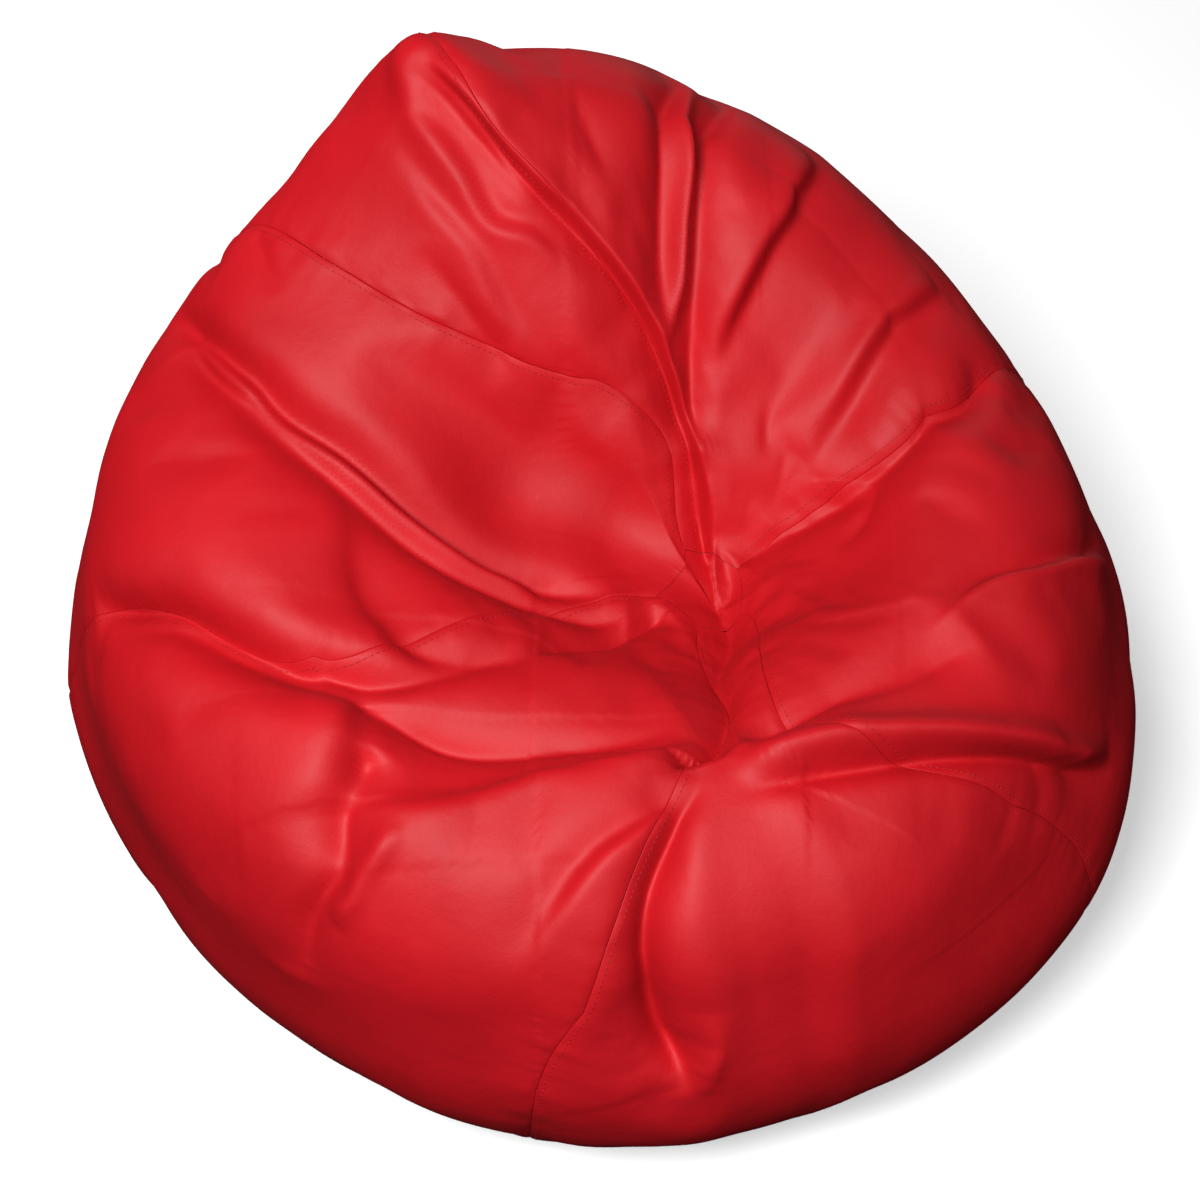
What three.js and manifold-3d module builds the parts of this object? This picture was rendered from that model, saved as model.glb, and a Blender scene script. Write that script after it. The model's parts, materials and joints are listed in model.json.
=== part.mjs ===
// Bean bag chair: six leatherette gores sewn between a hexagonal top cap and a round base, slumped into a seat.
// A fabric liner full of loose beads sits inside, and a zip with a slider and pull closes the back seam.
// Millimetres, +Z up, the front faces -Y, and the origin is on the floor under the middle of the bag.
import * as THREE from "three";
import { mergeVertices } from "three/addons/utils/BufferGeometryUtils.js";
import Module from "manifold-3d";

const wasm = await Module();
wasm.setup();

// ---------------------------------------------------------------- driving sizes
const bagRadius = 480; // mean plan radius of the belly
const bellyRadius = 178; // how round the belly is in side view
const bellyHeight = 165; // height of the widest line
const backCrestRadius = 105; // roundness over the tall back
const sideCrestRadius = 150; // roundness over the front and the arms
const frontCrest = 405; // height of the front lip
const rightCrest = 440; // height of the right arm
const leftCrest = 465; // height of the left arm
const backCrest = 665; // height of the back
const peakRise = 17; // how far the peak stands above the back, behind the left shoulder
const backReach = 256; // plan distance from the middle to the back's crest
const sideReach = 293; // plan distance from the middle to the crest in front and at the arms
const capCentre = new THREE.Vector3(102, -40, 322); // bottom of the seat hollow, where the cap is
const capShare = 0.13; // where the gores end and the cap begins, as a share of the way to the crest

const coverThickness = 1.2; // leatherette
const seamGap = 0.4; // between sewn edges
const seamBevel = 0.5; // how far a sewn edge slopes back, as a share of the cover's thickness
const linerDepth = 7.4; // from the outside of the cover to the outside of the liner
const linerThickness = 0.5;
const fillClearance = 0.4; // between the liner and the beads
const baseClearance = 0.8; // between the gores' lower edge and the base

const seamMargin = 2.6; // degrees of flat fabric on each side of a seam
const gorePanels = 5; // columns of facets between two margins

const teethLength = 300; // length of the zip's teeth
const toothPitch = 5;
const toothWidth = 1.9; // along the zip
const toothThickness = 2;
const toothGap = 1.4; // between the tips of the two rows, for the slider's web
const toothReach = 1.7; // from the cord to a tooth's tip
const toothCord = 2; // width of the cord that carries a row of teeth
const tapeThickness = 0.6;
const tapeHalfWidth = 15;
const tapeFront = -2.1; // the tape's outer face, below the outside of the cover
const tapeSpare = 17; // tape past each end of the teeth
const slotHalfWidth = 9; // half of the gap between the two gores at the zip
const slotSpare = 9; // gap past each end of the teeth
const stopLength = 4;
const stopGap = 0.8; // between the end of the teeth and a stop
const layerGap = 0.3; // between faces that touch

const sliderLength = 16;
const sliderTopWidth = 13;
const sliderBottomWidth = 11;
const sliderPlate = 1.4; // thickness of the slider's plates
const flangeThickness = 0.8;
const webThickness = 0.7;
const webLength = 3;
const archWidth = 3; // the bridge that holds the pull
const archThickness = 1.5;
const archOpening = 4.4;
const archHeight = 2.6;
const pullWidth = 9;
const pullLength = 34;
const pullBar = 1.6; // thickness of the pull, and of its hinge bar
const pullEyeLength = 7.2;
const pullEyeWidth = 4.4;

const closureLength = 250; // hook and loop strips on the liner
const closureHalfWidth = 11;
const closureThickness = 0.6;
const closureGap = 0.7; // between the liner and the strips
const closureSlit = 6;
const labelSize = { width: 24, height: 42, thickness: 0.4, proud: 0.8, reach: 1.68 };

// ---------------------------------------------------------------- form of the bag
const FULL_TURN = 360;
const mix = (a, b, share) => a + (b - a) * share;

const peakCrest = backCrest + peakRise;
// Shape around the bag. A bearing is in degrees in plan: 0 is the front, 90 the right, 180 the back.
const planShape = [
  [0, 0.971], [30, 0.988], [60, 1.029], [90, 1.025], [120, 1.042], [150, 1.008],
  [180, 0.958], [210, 0.969], [240, 1.048], [270, 1.015], [300, 0.942], [330, 0.933],
].map(([bearing, share]) => [bearing, share * bagRadius]);
const crestShape = [
  [0, frontCrest],
  [60, mix(frontCrest, rightCrest, 0.45)],
  [100, rightCrest],
  [125, mix(rightCrest, backCrest, 0.16)],
  [148, mix(rightCrest, backCrest, 0.5)],
  [170, mix(rightCrest, backCrest, 0.79)],
  [195, backCrest],
  [210, peakCrest],
  [222, mix(leftCrest, peakCrest, 0.72)],
  [235, mix(leftCrest, peakCrest, 0.4)],
  [252, mix(leftCrest, peakCrest, 0.16)],
  [275, leftCrest],
  [320, mix(frontCrest, leftCrest, 0.33)],
];
const crestRadiusShape = [[0, sideCrestRadius], [90, sideCrestRadius], [200, backCrestRadius], [270, sideCrestRadius]];
const crestReachShape = [
  [0, sideReach], [90, sideReach], [130, sideReach], [180, backReach], [211, backReach], [240, sideReach],
  [270, sideReach],
];

// Seams run from the cap over the crest to the base. Reach is 0 at the cap's middle, 1 on the crest, 1.3 and
// 1.6 at the ends of the straight wall and 2 at the base. Each knot is [reach, bearing].
const seams = {
  front: [[0, 0], [0.13, 0], [0.34, 12], [0.62, 20], [0.94, 17], [1.1, 6], [1.25, 0], [1.5, -5], [2, -8]],
  right_front: [[0, 58], [0.13, 58], [0.34, 42], [0.62, 32], [0.94, 31], [1.1, 39], [1.25, 49], [1.5, 56], [2, 62]],
  right_back: [[0, 121], [0.13, 121], [0.4, 110], [0.74, 102], [1.04, 104], [1.2, 112], [1.5, 117], [2, 118]],
  back: [[0, 162], [0.13, 162], [0.34, 170], [0.5, 181], [0.62, 194], [0.8, 208], [1, 208], [2, 208]],
  left_back: [[0, 192], [0.13, 192], [0.34, 184], [0.46, 217], [0.7, 234], [0.92, 238], [1.2, 235], [2, 232]],
  left: [[0, 288], [0.13, 288], [0.5, 306], [0.8, 312], [1.0, 310], [1.13, 291], [1.3, 282], [2, 272]],
};
const panelNames = ["front_panel", "right_panel", "back_panel", "back_left_panel", "left_panel", "front_left_panel"];
const reachRows = [
  capShare, 0.25, 0.34, 0.43, 0.54, 0.68, 0.84, 1, 1.1, 1.2, 1.3, 1.45, 1.6, 1.68, 1.76, 1.84, 1.92, 2,
];

// A smooth curve through [place, value] knots, at one place between the second and third of four knots.
function hermite(before, from, to, after, place) {
  const step = to[0] - from[0];
  const share = (place - from[0]) / step;
  const leave = ((to[1] - before[1]) / (to[0] - before[0])) * step;
  const arrive = ((after[1] - from[1]) / (after[0] - from[0])) * step;
  const s2 = share * share;
  const s3 = s2 * share;
  return (
    (2 * s3 - 3 * s2 + 1) * from[1] + (s3 - 2 * s2 + share) * leave + (3 * s2 - 2 * s3) * to[1] + (s3 - s2) * arrive
  );
}

// The value of a closed curve of knots at a bearing.
function around(knots, bearing) {
  const turn = ((bearing % FULL_TURN) + FULL_TURN) % FULL_TURN;
  const count = knots.length;
  const knot = (i) => [
    knots[(i + count) % count][0] + Math.floor(i / count) * FULL_TURN,
    knots[(i + count) % count][1],
  ];
  let i = count - 1;
  while (knot(i)[0] > turn) i -= 1;
  return hermite(knot(i - 1), knot(i), knot(i + 1), knot(i + 2), turn);
}

// The value of an open curve of knots at a reach.
function along(knots, reach) {
  const last = knots.length - 1;
  let i = 0;
  while (i < last - 1 && knots[i + 1][0] < reach) i += 1;
  const before = i > 0 ? knots[i - 1] : [knots[0][0] - 1, knots[0][1]];
  const after = i + 2 <= last ? knots[i + 2] : [knots[last][0] + 1, knots[last][1]];
  return hermite(before, knots[i], knots[i + 1], after, reach);
}

// The side view of the bag at one bearing: a crest arc, a straight wall and a belly arc, each tangent to the next.
function wallAt(bearing) {
  const crest = { radius: around(crestRadiusShape, bearing), reach: around(crestReachShape, bearing) };
  crest.height = around(crestShape, bearing) - crest.radius;
  const belly = { radius: bellyRadius, reach: around(planShape, bearing) - bellyRadius, height: bellyHeight };
  const across = crest.reach - belly.reach;
  const up = crest.height - belly.height;
  const spread = Math.hypot(across, up);
  const lean = Math.atan2(up, across) - Math.PI / 2 + Math.asin((belly.radius - crest.radius) / spread);
  const foot = -Math.asin(bellyHeight / bellyRadius);
  return { crest, belly, lean, foot };
}

// A point of the cover's outside at a bearing and a reach.
function surfacePoint(bearing, reach) {
  const angle = THREE.MathUtils.degToRad(bearing);
  const outward = new THREE.Vector3(Math.sin(angle), -Math.cos(angle), 0);
  const { crest, belly, lean, foot } = wallAt(bearing);
  const onArc = (arc, tilt) =>
    outward
      .clone()
      .multiplyScalar(arc.reach + arc.radius * Math.cos(tilt))
      .setZ(arc.height + arc.radius * Math.sin(tilt));
  if (reach <= 1) {
    const rise = reach * reach * (3 - 2 * reach);
    const top = onArc(crest, Math.PI / 2);
    const height = mix(capCentre.z, top.z, rise);
    return capCentre.clone().lerp(top, reach).setZ(height);
  }
  if (reach <= 1.3) return onArc(crest, mix(Math.PI / 2, lean, (reach - 1) / 0.3));
  if (reach <= 1.6) return onArc(crest, lean).lerp(onArc(belly, lean), (reach - 1.3) / 0.3);
  return onArc(belly, mix(lean, foot, (reach - 1.6) / 0.4));
}

// The outward direction there.
function surfaceNormal(bearing, reach) {
  const turnStep = 0.5;
  const reachStep = 0.004;
  const from = Math.max(reach - reachStep, reachStep);
  const to = Math.min(Math.max(reach, 2 * reachStep) + reachStep, 2);
  const down = surfacePoint(bearing, to).sub(surfacePoint(bearing, from));
  const middle = Math.max(reach, 2 * reachStep);
  const across = surfacePoint(bearing + turnStep, middle).sub(surfacePoint(bearing - turnStep, middle));
  return down.cross(across).normalize();
}

// The same point, a depth inside the cover's outside.
const insidePoint = (bearing, reach, depth) =>
  surfacePoint(bearing, reach).addScaledVector(surfaceNormal(bearing, reach), -depth);

const seamPaths = Object.values(seams);
// The bearing of the seam before and after a gore, at a reach.
function goreEdges(gore, reach) {
  const before = along(seamPaths[gore], reach);
  const next = (gore + 1) % seamPaths.length;
  const turns = next === 0 ? FULL_TURN : 0;
  return [before, along(seamPaths[next], reach) + turns];
}

// The bearings of a gore's columns at a reach: a narrow margin at each seam and even columns between.
function goreBearings(gore, reach) {
  const [before, after] = goreEdges(gore, reach);
  const margin = Math.min(seamMargin, (after - before) / (gorePanels + 2));
  const inner = Array.from({ length: gorePanels + 1 }, (_, i) =>
    mix(before + margin, after - margin, i / gorePanels),
  );
  return [before, ...inner, after];
}

// ---------------------------------------------------------------- solids
function solidOf(geometry) {
  const bare = geometry.index ? geometry.toNonIndexed() : geometry.clone();
  bare.deleteAttribute("normal");
  bare.deleteAttribute("uv");
  const merged = mergeVertices(bare, 1e-4);
  return new wasm.Manifold(
    new wasm.Mesh({
      numProp: 3,
      vertProperties: new Float32Array(merged.attributes.position.array),
      triVerts: new Uint32Array(merged.index.array),
    }),
  );
}

function geometryOf(solid) {
  const { vertProperties, triVerts, numProp } = solid.getMesh();
  const geometry = new THREE.BufferGeometry();
  const positions = new Float32Array((vertProperties.length / numProp) * 3);
  for (let i = 0; i < positions.length / 3; i += 1) {
    positions.set(vertProperties.subarray(i * numProp, i * numProp + 3), i * 3);
  }
  geometry.setAttribute("position", new THREE.BufferAttribute(positions, 3));
  geometry.setIndex(new THREE.BufferAttribute(new Uint32Array(triVerts), 1));
  return geometry;
}

function geometryFrom(points, triangles) {
  const geometry = new THREE.BufferGeometry().setFromPoints(points);
  geometry.setIndex(triangles);
  return geometry;
}

// A thin closed sheet between two grids of points, grid[column][row], with the same number of points each way.
function sheetBetween(outer, inner) {
  const columns = outer.length;
  const rows = outer[0].length;
  const points = [...outer.flat(), ...inner.flat()];
  const at = (side, column, row) => side * columns * rows + column * rows + row;
  const triangles = [];
  const quad = (a, b, c, d) => triangles.push(a, b, c, a, c, d);
  for (let i = 0; i < columns - 1; i += 1) {
    for (let j = 0; j < rows - 1; j += 1) {
      quad(at(0, i, j), at(0, i, j + 1), at(0, i + 1, j + 1), at(0, i + 1, j));
      quad(at(1, i, j), at(1, i + 1, j), at(1, i + 1, j + 1), at(1, i, j + 1));
    }
    quad(at(0, i, 0), at(0, i + 1, 0), at(1, i + 1, 0), at(1, i, 0));
    quad(at(0, i + 1, rows - 1), at(0, i, rows - 1), at(1, i, rows - 1), at(1, i + 1, rows - 1));
  }
  for (let j = 0; j < rows - 1; j += 1) {
    quad(at(0, 0, j + 1), at(0, 0, j), at(1, 0, j), at(1, 0, j + 1));
    quad(at(0, columns - 1, j), at(0, columns - 1, j + 1), at(1, columns - 1, j + 1), at(1, columns - 1, j));
  }
  return geometryFrom(points, triangles);
}

// The whole bag, a depth inside the cover, as one closed solid.
function bagSolid(depth) {
  const rings = reachRows.map((reach) =>
    seamPaths.flatMap((_, gore) =>
      goreBearings(gore, reach)
        .slice(0, -1)
        .map((bearing) => insidePoint(bearing, reach, depth)),
    ),
  );
  const count = rings[0].length;
  const floor = rings.at(-1)[0].z;
  rings.at(-1).forEach((point) => point.setZ(floor));
  const top = insidePoint(0, 0, depth);
  const points = [...rings.flat(), top, new THREE.Vector3(0, 0, floor)];
  const triangles = [];
  for (let i = 0; i < count; i += 1) {
    const next = (i + 1) % count;
    for (let j = 0; j < rings.length - 1; j += 1) {
      const [a, b, c, d] = [j * count + i, (j + 1) * count + i, (j + 1) * count + next, j * count + next];
      triangles.push(a, b, c, a, c, d);
    }
    triangles.push(points.length - 2, i, next);
    triangles.push(points.length - 1, (rings.length - 1) * count + next, (rings.length - 1) * count + i);
  }
  return solidOf(geometryFrom(points, triangles));
}

// ---------------------------------------------------------------- materials
const material = (color, roughness, metalness = 0) => new THREE.MeshStandardMaterial({ color, roughness, metalness });
const leatherette = material(0xc01826, 0.42);
const linerCloth = material(0xe6e2d8, 0.9);
const beads = material(0xf7f7f4, 0.8);
const zipTape = material(0x8c1420, 0.85);
const zipPlastic = material(0xa31a28, 0.4);
const sliderMetal = material(0x9a9da1, 0.3, 0.9);
const closureTape = material(0xd9d6cc, 0.95);
const labelSatin = material(0xf2efe8, 0.6);

const bag = new THREE.Group();
function place(parent, name, geometry, finish) {
  const mesh = new THREE.Mesh(geometry, finish);
  mesh.name = name;
  parent.add(mesh);
  return mesh;
}

// ---------------------------------------------------------------- the zip's own frame
// On the straight wall of the back seam: X across the zip, Y up along it, Z out of the cover.
const zipBearing = along(seams.back, 1.45);
const zipFrame = new THREE.Matrix4();
{
  const up = surfacePoint(zipBearing, 1.4).sub(surfacePoint(zipBearing, 1.5)).normalize();
  const outward = surfaceNormal(zipBearing, 1.45);
  zipFrame.makeBasis(up.clone().cross(outward), up, outward);
  zipFrame.setPosition(surfacePoint(zipBearing, 1.45));
}
const halfTeeth = teethLength / 2;

function blockGeometry(x, y, z) {
  const geometry = new THREE.BoxGeometry(x[1] - x[0], y[1] - y[0], z[1] - z[0]);
  return geometry.translate((x[0] + x[1]) / 2, (y[0] + y[1]) / 2, (z[0] + z[1]) / 2);
}
const block = (x, y, z) => solidOf(blockGeometry(x, y, z));
const inBagFrame = (geometry) => solidOf(geometry.clone().applyMatrix4(zipFrame));

// ---------------------------------------------------------------- cover
const slotCutter = inBagFrame(
  blockGeometry(
    [-slotHalfWidth, slotHalfWidth],
    [-halfTeeth - slotSpare, halfTeeth + slotSpare],
    [-linerDepth, linerDepth],
  ),
);

// The straight edge of the hexagonal cap between two seams: the share of the way along it, at a depth.
function capEdgePoint(gore, share, depth) {
  const [before, after] = goreEdges(gore, capShare);
  return insidePoint(before, capShare, depth).lerp(insidePoint(after, capShare, depth), share);
}

function goreGrid(gore, depth) {
  const columns = Array.from({ length: gorePanels + 3 }, () => []);
  for (const reach of reachRows) {
    const bearings = goreBearings(gore, reach);
    const row = bearings.map((bearing) => insidePoint(bearing, reach, depth));
    if (reach === capShare) {
      const span = bearings.at(-1) - bearings[0];
      bearings.forEach((bearing, i) => row[i].copy(capEdgePoint(gore, (bearing - bearings[0]) / span, depth)));
    }
    const inset = seamGap / 2 + depth * seamBevel;
    const shrink = (edge, neighbour) => edge.addScaledVector(neighbour.clone().sub(edge).normalize(), inset);
    shrink(row[0], row[1]);
    shrink(row.at(-1), row.at(-2));
    row.forEach((point, i) => columns[i].push(point));
  }
  return columns;
}

function gorePanel(gore) {
  const sheet = sheetBetween(goreGrid(gore, 0), goreGrid(gore, coverThickness));
  return geometryOf(solidOf(sheet).subtract(slotCutter));
}
panelNames.forEach((name, gore) => place(bag, name, gorePanel(gore), leatherette));

// The hexagonal cap, one corner at each seam, stepped back by the seam gap.
function topCap() {
  const ring = (depth) => {
    const middle = insidePoint(0, 0, depth);
    return seamPaths.map((_, gore) => {
      const corner = capEdgePoint(gore, 0, depth);
      return corner.addScaledVector(middle.clone().sub(corner).normalize(), 2 * seamGap);
    });
  };
  const points = [
    insidePoint(0, 0, 0), insidePoint(0, 0, coverThickness), ...ring(0), ...ring(coverThickness),
  ];
  const sides = seamPaths.length;
  const triangles = [];
  for (let i = 0; i < sides; i += 1) {
    const [a, b] = [2 + i, 2 + ((i + 1) % sides)];
    triangles.push(0, a, b, 1, b + sides, a + sides, a, a + sides, b + sides, a, b + sides, b);
  }
  return geometryFrom(points, triangles);
}
place(bag, "top_cap", topCap(), leatherette);

function basePanel() {
  const rim = seamPaths.flatMap((_, gore) =>
    goreBearings(gore, 2)
      .slice(0, -1)
      .map((bearing) => {
        const edge = surfacePoint(bearing, 2).setZ(0);
        return edge.setLength(edge.length() - coverThickness - baseClearance);
      }),
  );
  const outline = new THREE.Shape(rim.map((point) => new THREE.Vector2(point.x, point.y)));
  return new THREE.ExtrudeGeometry(outline, { depth: coverThickness, bevelEnabled: false });
}
place(bag, "base_panel", basePanel(), leatherette);

// ---------------------------------------------------------------- liner and filling
const closureY = [-closureLength / 2, closureLength / 2];
const slitCutter = inBagFrame(
  blockGeometry([-closureSlit / 2, closureSlit / 2], closureY, [-linerDepth - 2 * linerThickness, 0]),
);
const liner = bagSolid(linerDepth)
  .subtract(bagSolid(linerDepth + linerThickness))
  .subtract(slitCutter);
const roomFor = 4 * bagRadius;
const frontRoom = block([-roomFor, roomFor], [-roomFor, capCentre.y + seamGap / 2], [-roomFor, roomFor]);
const backRoom = block([-roomFor, roomFor], [capCentre.y - seamGap / 2, roomFor], [-roomFor, roomFor]);
place(bag, "liner_front", geometryOf(liner.subtract(backRoom)), linerCloth);
place(bag, "liner_back", geometryOf(liner.subtract(frontRoom)), linerCloth);
place(bag, "bead_fill", geometryOf(bagSolid(linerDepth + linerThickness + fillClearance)), beads);

// ---------------------------------------------------------------- zip
const zip = new THREE.Group();
zip.applyMatrix4(zipFrame);
bag.add(zip);

const hookFront = -linerDepth + closureGap + closureThickness;
const closureX = [-closureHalfWidth, closureHalfWidth];
place(zip, "liner_closure_hook_strip", blockGeometry(closureX, closureY, [hookFront - closureThickness, hookFront]),
  closureTape);
const loopBack = hookFront + layerGap;
place(zip, "liner_closure_loop_strip", blockGeometry(closureX, closureY, [loopBack, loopBack + closureThickness]),
  closureTape);

const tapeY = [-halfTeeth - tapeSpare, halfTeeth + tapeSpare];
const tapeEdge = toothGap / 2 + 0.1;
const tapeZ = [tapeFront - tapeThickness, tapeFront];
place(zip, "zip_tape_left", blockGeometry([-tapeHalfWidth, -tapeEdge], tapeY, tapeZ), zipTape);
place(zip, "zip_tape_right", blockGeometry([tapeEdge, tapeHalfWidth], tapeY, tapeZ), zipTape);

// One row of teeth on its cord, seen from outside, with the teeth pointing towards the middle of the zip.
const teethBack = tapeFront + layerGap;
const teethFront = teethBack + toothThickness;
function teethRow(side) {
  const tip = (side * toothGap) / 2;
  const root = tip + side * toothReach;
  const outside = root + side * toothCord;
  const count = Math.floor(teethLength / toothPitch);
  const shift = side > 0 ? toothPitch / 2 : 0;
  const outline = new THREE.Shape();
  outline.moveTo(outside, -halfTeeth);
  outline.lineTo(root, -halfTeeth);
  for (let i = 0; i < count; i += 1) {
    const start = -halfTeeth + i * toothPitch + shift + layerGap;
    outline.lineTo(root, start);
    outline.lineTo(tip, start);
    outline.lineTo(tip, start + toothWidth);
    outline.lineTo(root, start + toothWidth);
  }
  outline.lineTo(root, halfTeeth);
  outline.lineTo(outside, halfTeeth);
  return new THREE.ExtrudeGeometry(outline, { depth: toothThickness, bevelEnabled: false }).translate(0, 0, teethBack);
}
place(zip, "zip_teeth_left", teethRow(-1), zipPlastic);
place(zip, "zip_teeth_right", teethRow(1), zipPlastic);

const chainHalfWidth = toothGap / 2 + toothReach + toothCord;
const stopStart = halfTeeth + stopGap;
const stopZ = [teethBack, teethFront + layerGap];
const stopX = [-chainHalfWidth, chainHalfWidth];
place(zip, "zip_top_stop", blockGeometry(stopX, [stopStart, stopStart + stopLength], stopZ), sliderMetal);
place(zip, "zip_bottom_stop", blockGeometry(stopX, [-stopStart - stopLength, -stopStart], stopZ), sliderMetal);

// Slider and pull, in a frame at the slider's middle. The zip is shut, so the slider is at the top of the teeth.
const carriage = new THREE.Group();
carriage.position.y = halfTeeth - sliderLength / 2 - stopGap;
zip.add(carriage);

const frontPlateBack = teethFront + layerGap;
const frontPlateFront = frontPlateBack + sliderPlate;
const backPlateFront = tapeZ[0] - layerGap;
const axisHeight = frontPlateFront + archHeight / 2;

function sliderPlateShape() {
  const half = sliderLength / 2;
  const corner = 2;
  const outline = new THREE.Shape();
  outline.moveTo(-sliderBottomWidth / 2, -half);
  outline.lineTo(sliderBottomWidth / 2, -half);
  outline.lineTo(sliderTopWidth / 2, half - corner);
  outline.lineTo(sliderTopWidth / 2 - corner, half);
  outline.lineTo(-sliderTopWidth / 2 + corner, half);
  outline.lineTo(-sliderTopWidth / 2, half - corner);
  return outline;
}
const sliderPlateSolid = (back) =>
  solidOf(
    new THREE.ExtrudeGeometry(sliderPlateShape(), { depth: sliderPlate, bevelEnabled: false }).translate(0, 0, back),
  );

function sliderGeometry() {
  const half = sliderLength / 2;
  const flangeTop = half - 2;
  const flange = (side) => {
    const outline = new THREE.Shape();
    outline.moveTo((side * sliderBottomWidth) / 2, -half);
    outline.lineTo((side * sliderTopWidth) / 2, flangeTop);
    outline.lineTo(side * (sliderTopWidth / 2 - flangeThickness), flangeTop);
    outline.lineTo(side * (sliderBottomWidth / 2 - flangeThickness), -half);
    const depth = frontPlateFront - teethBack - layerGap / 2;
    return solidOf(
      new THREE.ExtrudeGeometry(outline, { depth, bevelEnabled: false }).translate(0, 0, frontPlateFront - depth),
    );
  };
  const web = block([-webThickness / 2, webThickness / 2], [half - webLength - 2, half - 2],
    [backPlateFront - sliderPlate / 2, frontPlateBack + sliderPlate / 2]);
  const archOutside = archOpening / 2 + archThickness;
  const archTop = frontPlateFront + archHeight + archThickness;
  const archX = [-archWidth / 2, archWidth / 2];
  const arch = block(archX, [-archOutside, archOutside], [frontPlateBack + sliderPlate / 2, archTop]).subtract(
    block([-archWidth, archWidth], [-archOpening / 2, archOpening / 2], [frontPlateFront, frontPlateFront + archHeight]),
  );
  return geometryOf(
    sliderPlateSolid(frontPlateBack)
      .add(sliderPlateSolid(backPlateFront - sliderPlate))
      .add(flange(-1))
      .add(flange(1))
      .add(web)
      .add(arch),
  );
}
place(carriage, "zip_slider", sliderGeometry(), sliderMetal);

// The pull hangs down over the teeth. Its eye goes round the slider's arch, and its hinge bar is at the frame's
// middle.
function pullGeometry() {
  const outline = new THREE.Shape();
  const top = pullBar / 2;
  const bottom = -pullLength + top;
  outline.moveTo(pullWidth / 2, top);
  outline.lineTo(-pullWidth / 2, top);
  outline.lineTo(-pullWidth / 2, bottom + pullWidth / 2);
  outline.absarc(0, bottom + pullWidth / 2, pullWidth / 2, Math.PI, 2 * Math.PI, false);
  const eye = new THREE.Path();
  eye.moveTo(pullEyeWidth / 2, -top);
  eye.lineTo(-pullEyeWidth / 2, -top);
  eye.lineTo(-pullEyeWidth / 2, -top - pullEyeLength);
  eye.lineTo(pullEyeWidth / 2, -top - pullEyeLength);
  outline.holes.push(eye);
  const settings = { depth: pullBar, bevelEnabled: false, curveSegments: 8 };
  return new THREE.ExtrudeGeometry(outline, settings).translate(0, 0, axisHeight - pullBar / 2);
}
place(carriage, "zip_pull", pullGeometry(), sliderMetal);

// ---------------------------------------------------------------- care label
const labelFrame = new THREE.Matrix4();
{
  const [above, below] = [labelSize.reach - 0.01, labelSize.reach + 0.01];
  const up = surfacePoint(zipBearing, above).sub(surfacePoint(zipBearing, below)).normalize();
  const outward = surfaceNormal(zipBearing, labelSize.reach);
  labelFrame.makeBasis(up.clone().cross(outward), up, outward);
  labelFrame.setPosition(surfacePoint(zipBearing, labelSize.reach));
}
const label = new THREE.Group();
label.applyMatrix4(labelFrame);
bag.add(label);
place(
  label,
  "care_label",
  blockGeometry(
    [-labelSize.width / 2, labelSize.width / 2],
    [-labelSize.height / 2, labelSize.height / 2],
    [labelSize.proud, labelSize.proud + labelSize.thickness],
  ),
  labelSatin,
);

// ---------------------------------------------------------------- frame: origin under the middle of the bag's box
const box = new THREE.Box3().setFromObject(bag);
const centre = box.getCenter(new THREE.Vector3());
bag.position.set(-centre.x, -centre.y, 0);

export default bag;
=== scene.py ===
"""A slumped leatherette bean bag chair: a sewn cover with its creases, a liner full of beads and a zip.

The form of the bag is a surface over two values. A bearing is an angle in plan in degrees: 0 is the front
(-Y), 90 the right (+X) and 180 the back. A reach runs down that bearing: 0 is the middle of the cap at the
bottom of the seat hollow, 1 the crest, 1.3 and 1.6 the ends of the straight wall, and 2 the edge of the base.
Lengths are metres.
"""

from __future__ import annotations

import json
import logging
import math
from collections.abc import Sequence
from dataclasses import dataclass, field
from enum import Enum

import bpy
import numpy as np
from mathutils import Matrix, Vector, noise

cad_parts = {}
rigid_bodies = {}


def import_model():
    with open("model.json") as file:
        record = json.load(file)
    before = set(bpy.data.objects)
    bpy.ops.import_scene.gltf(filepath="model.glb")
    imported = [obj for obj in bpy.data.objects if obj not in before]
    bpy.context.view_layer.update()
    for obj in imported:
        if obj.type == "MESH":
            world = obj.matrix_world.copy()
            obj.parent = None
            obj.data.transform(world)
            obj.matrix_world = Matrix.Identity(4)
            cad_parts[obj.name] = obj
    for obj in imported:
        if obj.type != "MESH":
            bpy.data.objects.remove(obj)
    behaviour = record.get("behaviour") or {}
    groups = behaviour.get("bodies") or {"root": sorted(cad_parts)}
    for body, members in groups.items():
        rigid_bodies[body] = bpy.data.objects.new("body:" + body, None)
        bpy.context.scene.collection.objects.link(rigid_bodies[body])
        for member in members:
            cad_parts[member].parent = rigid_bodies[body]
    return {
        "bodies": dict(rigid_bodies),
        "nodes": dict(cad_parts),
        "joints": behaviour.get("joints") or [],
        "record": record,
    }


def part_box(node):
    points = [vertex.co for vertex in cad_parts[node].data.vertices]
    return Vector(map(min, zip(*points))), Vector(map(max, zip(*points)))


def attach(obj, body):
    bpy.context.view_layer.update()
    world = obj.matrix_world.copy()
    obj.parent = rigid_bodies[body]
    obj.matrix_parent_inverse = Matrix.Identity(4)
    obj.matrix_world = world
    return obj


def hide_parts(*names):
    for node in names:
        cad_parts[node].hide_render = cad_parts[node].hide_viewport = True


LOG = logging.getLogger("bean_bag")
FULL_TURN = 360.0
MM = 0.001
BODY = "bag"
FRAME_NODES: dict[str, bpy.types.Object] = {}

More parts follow.
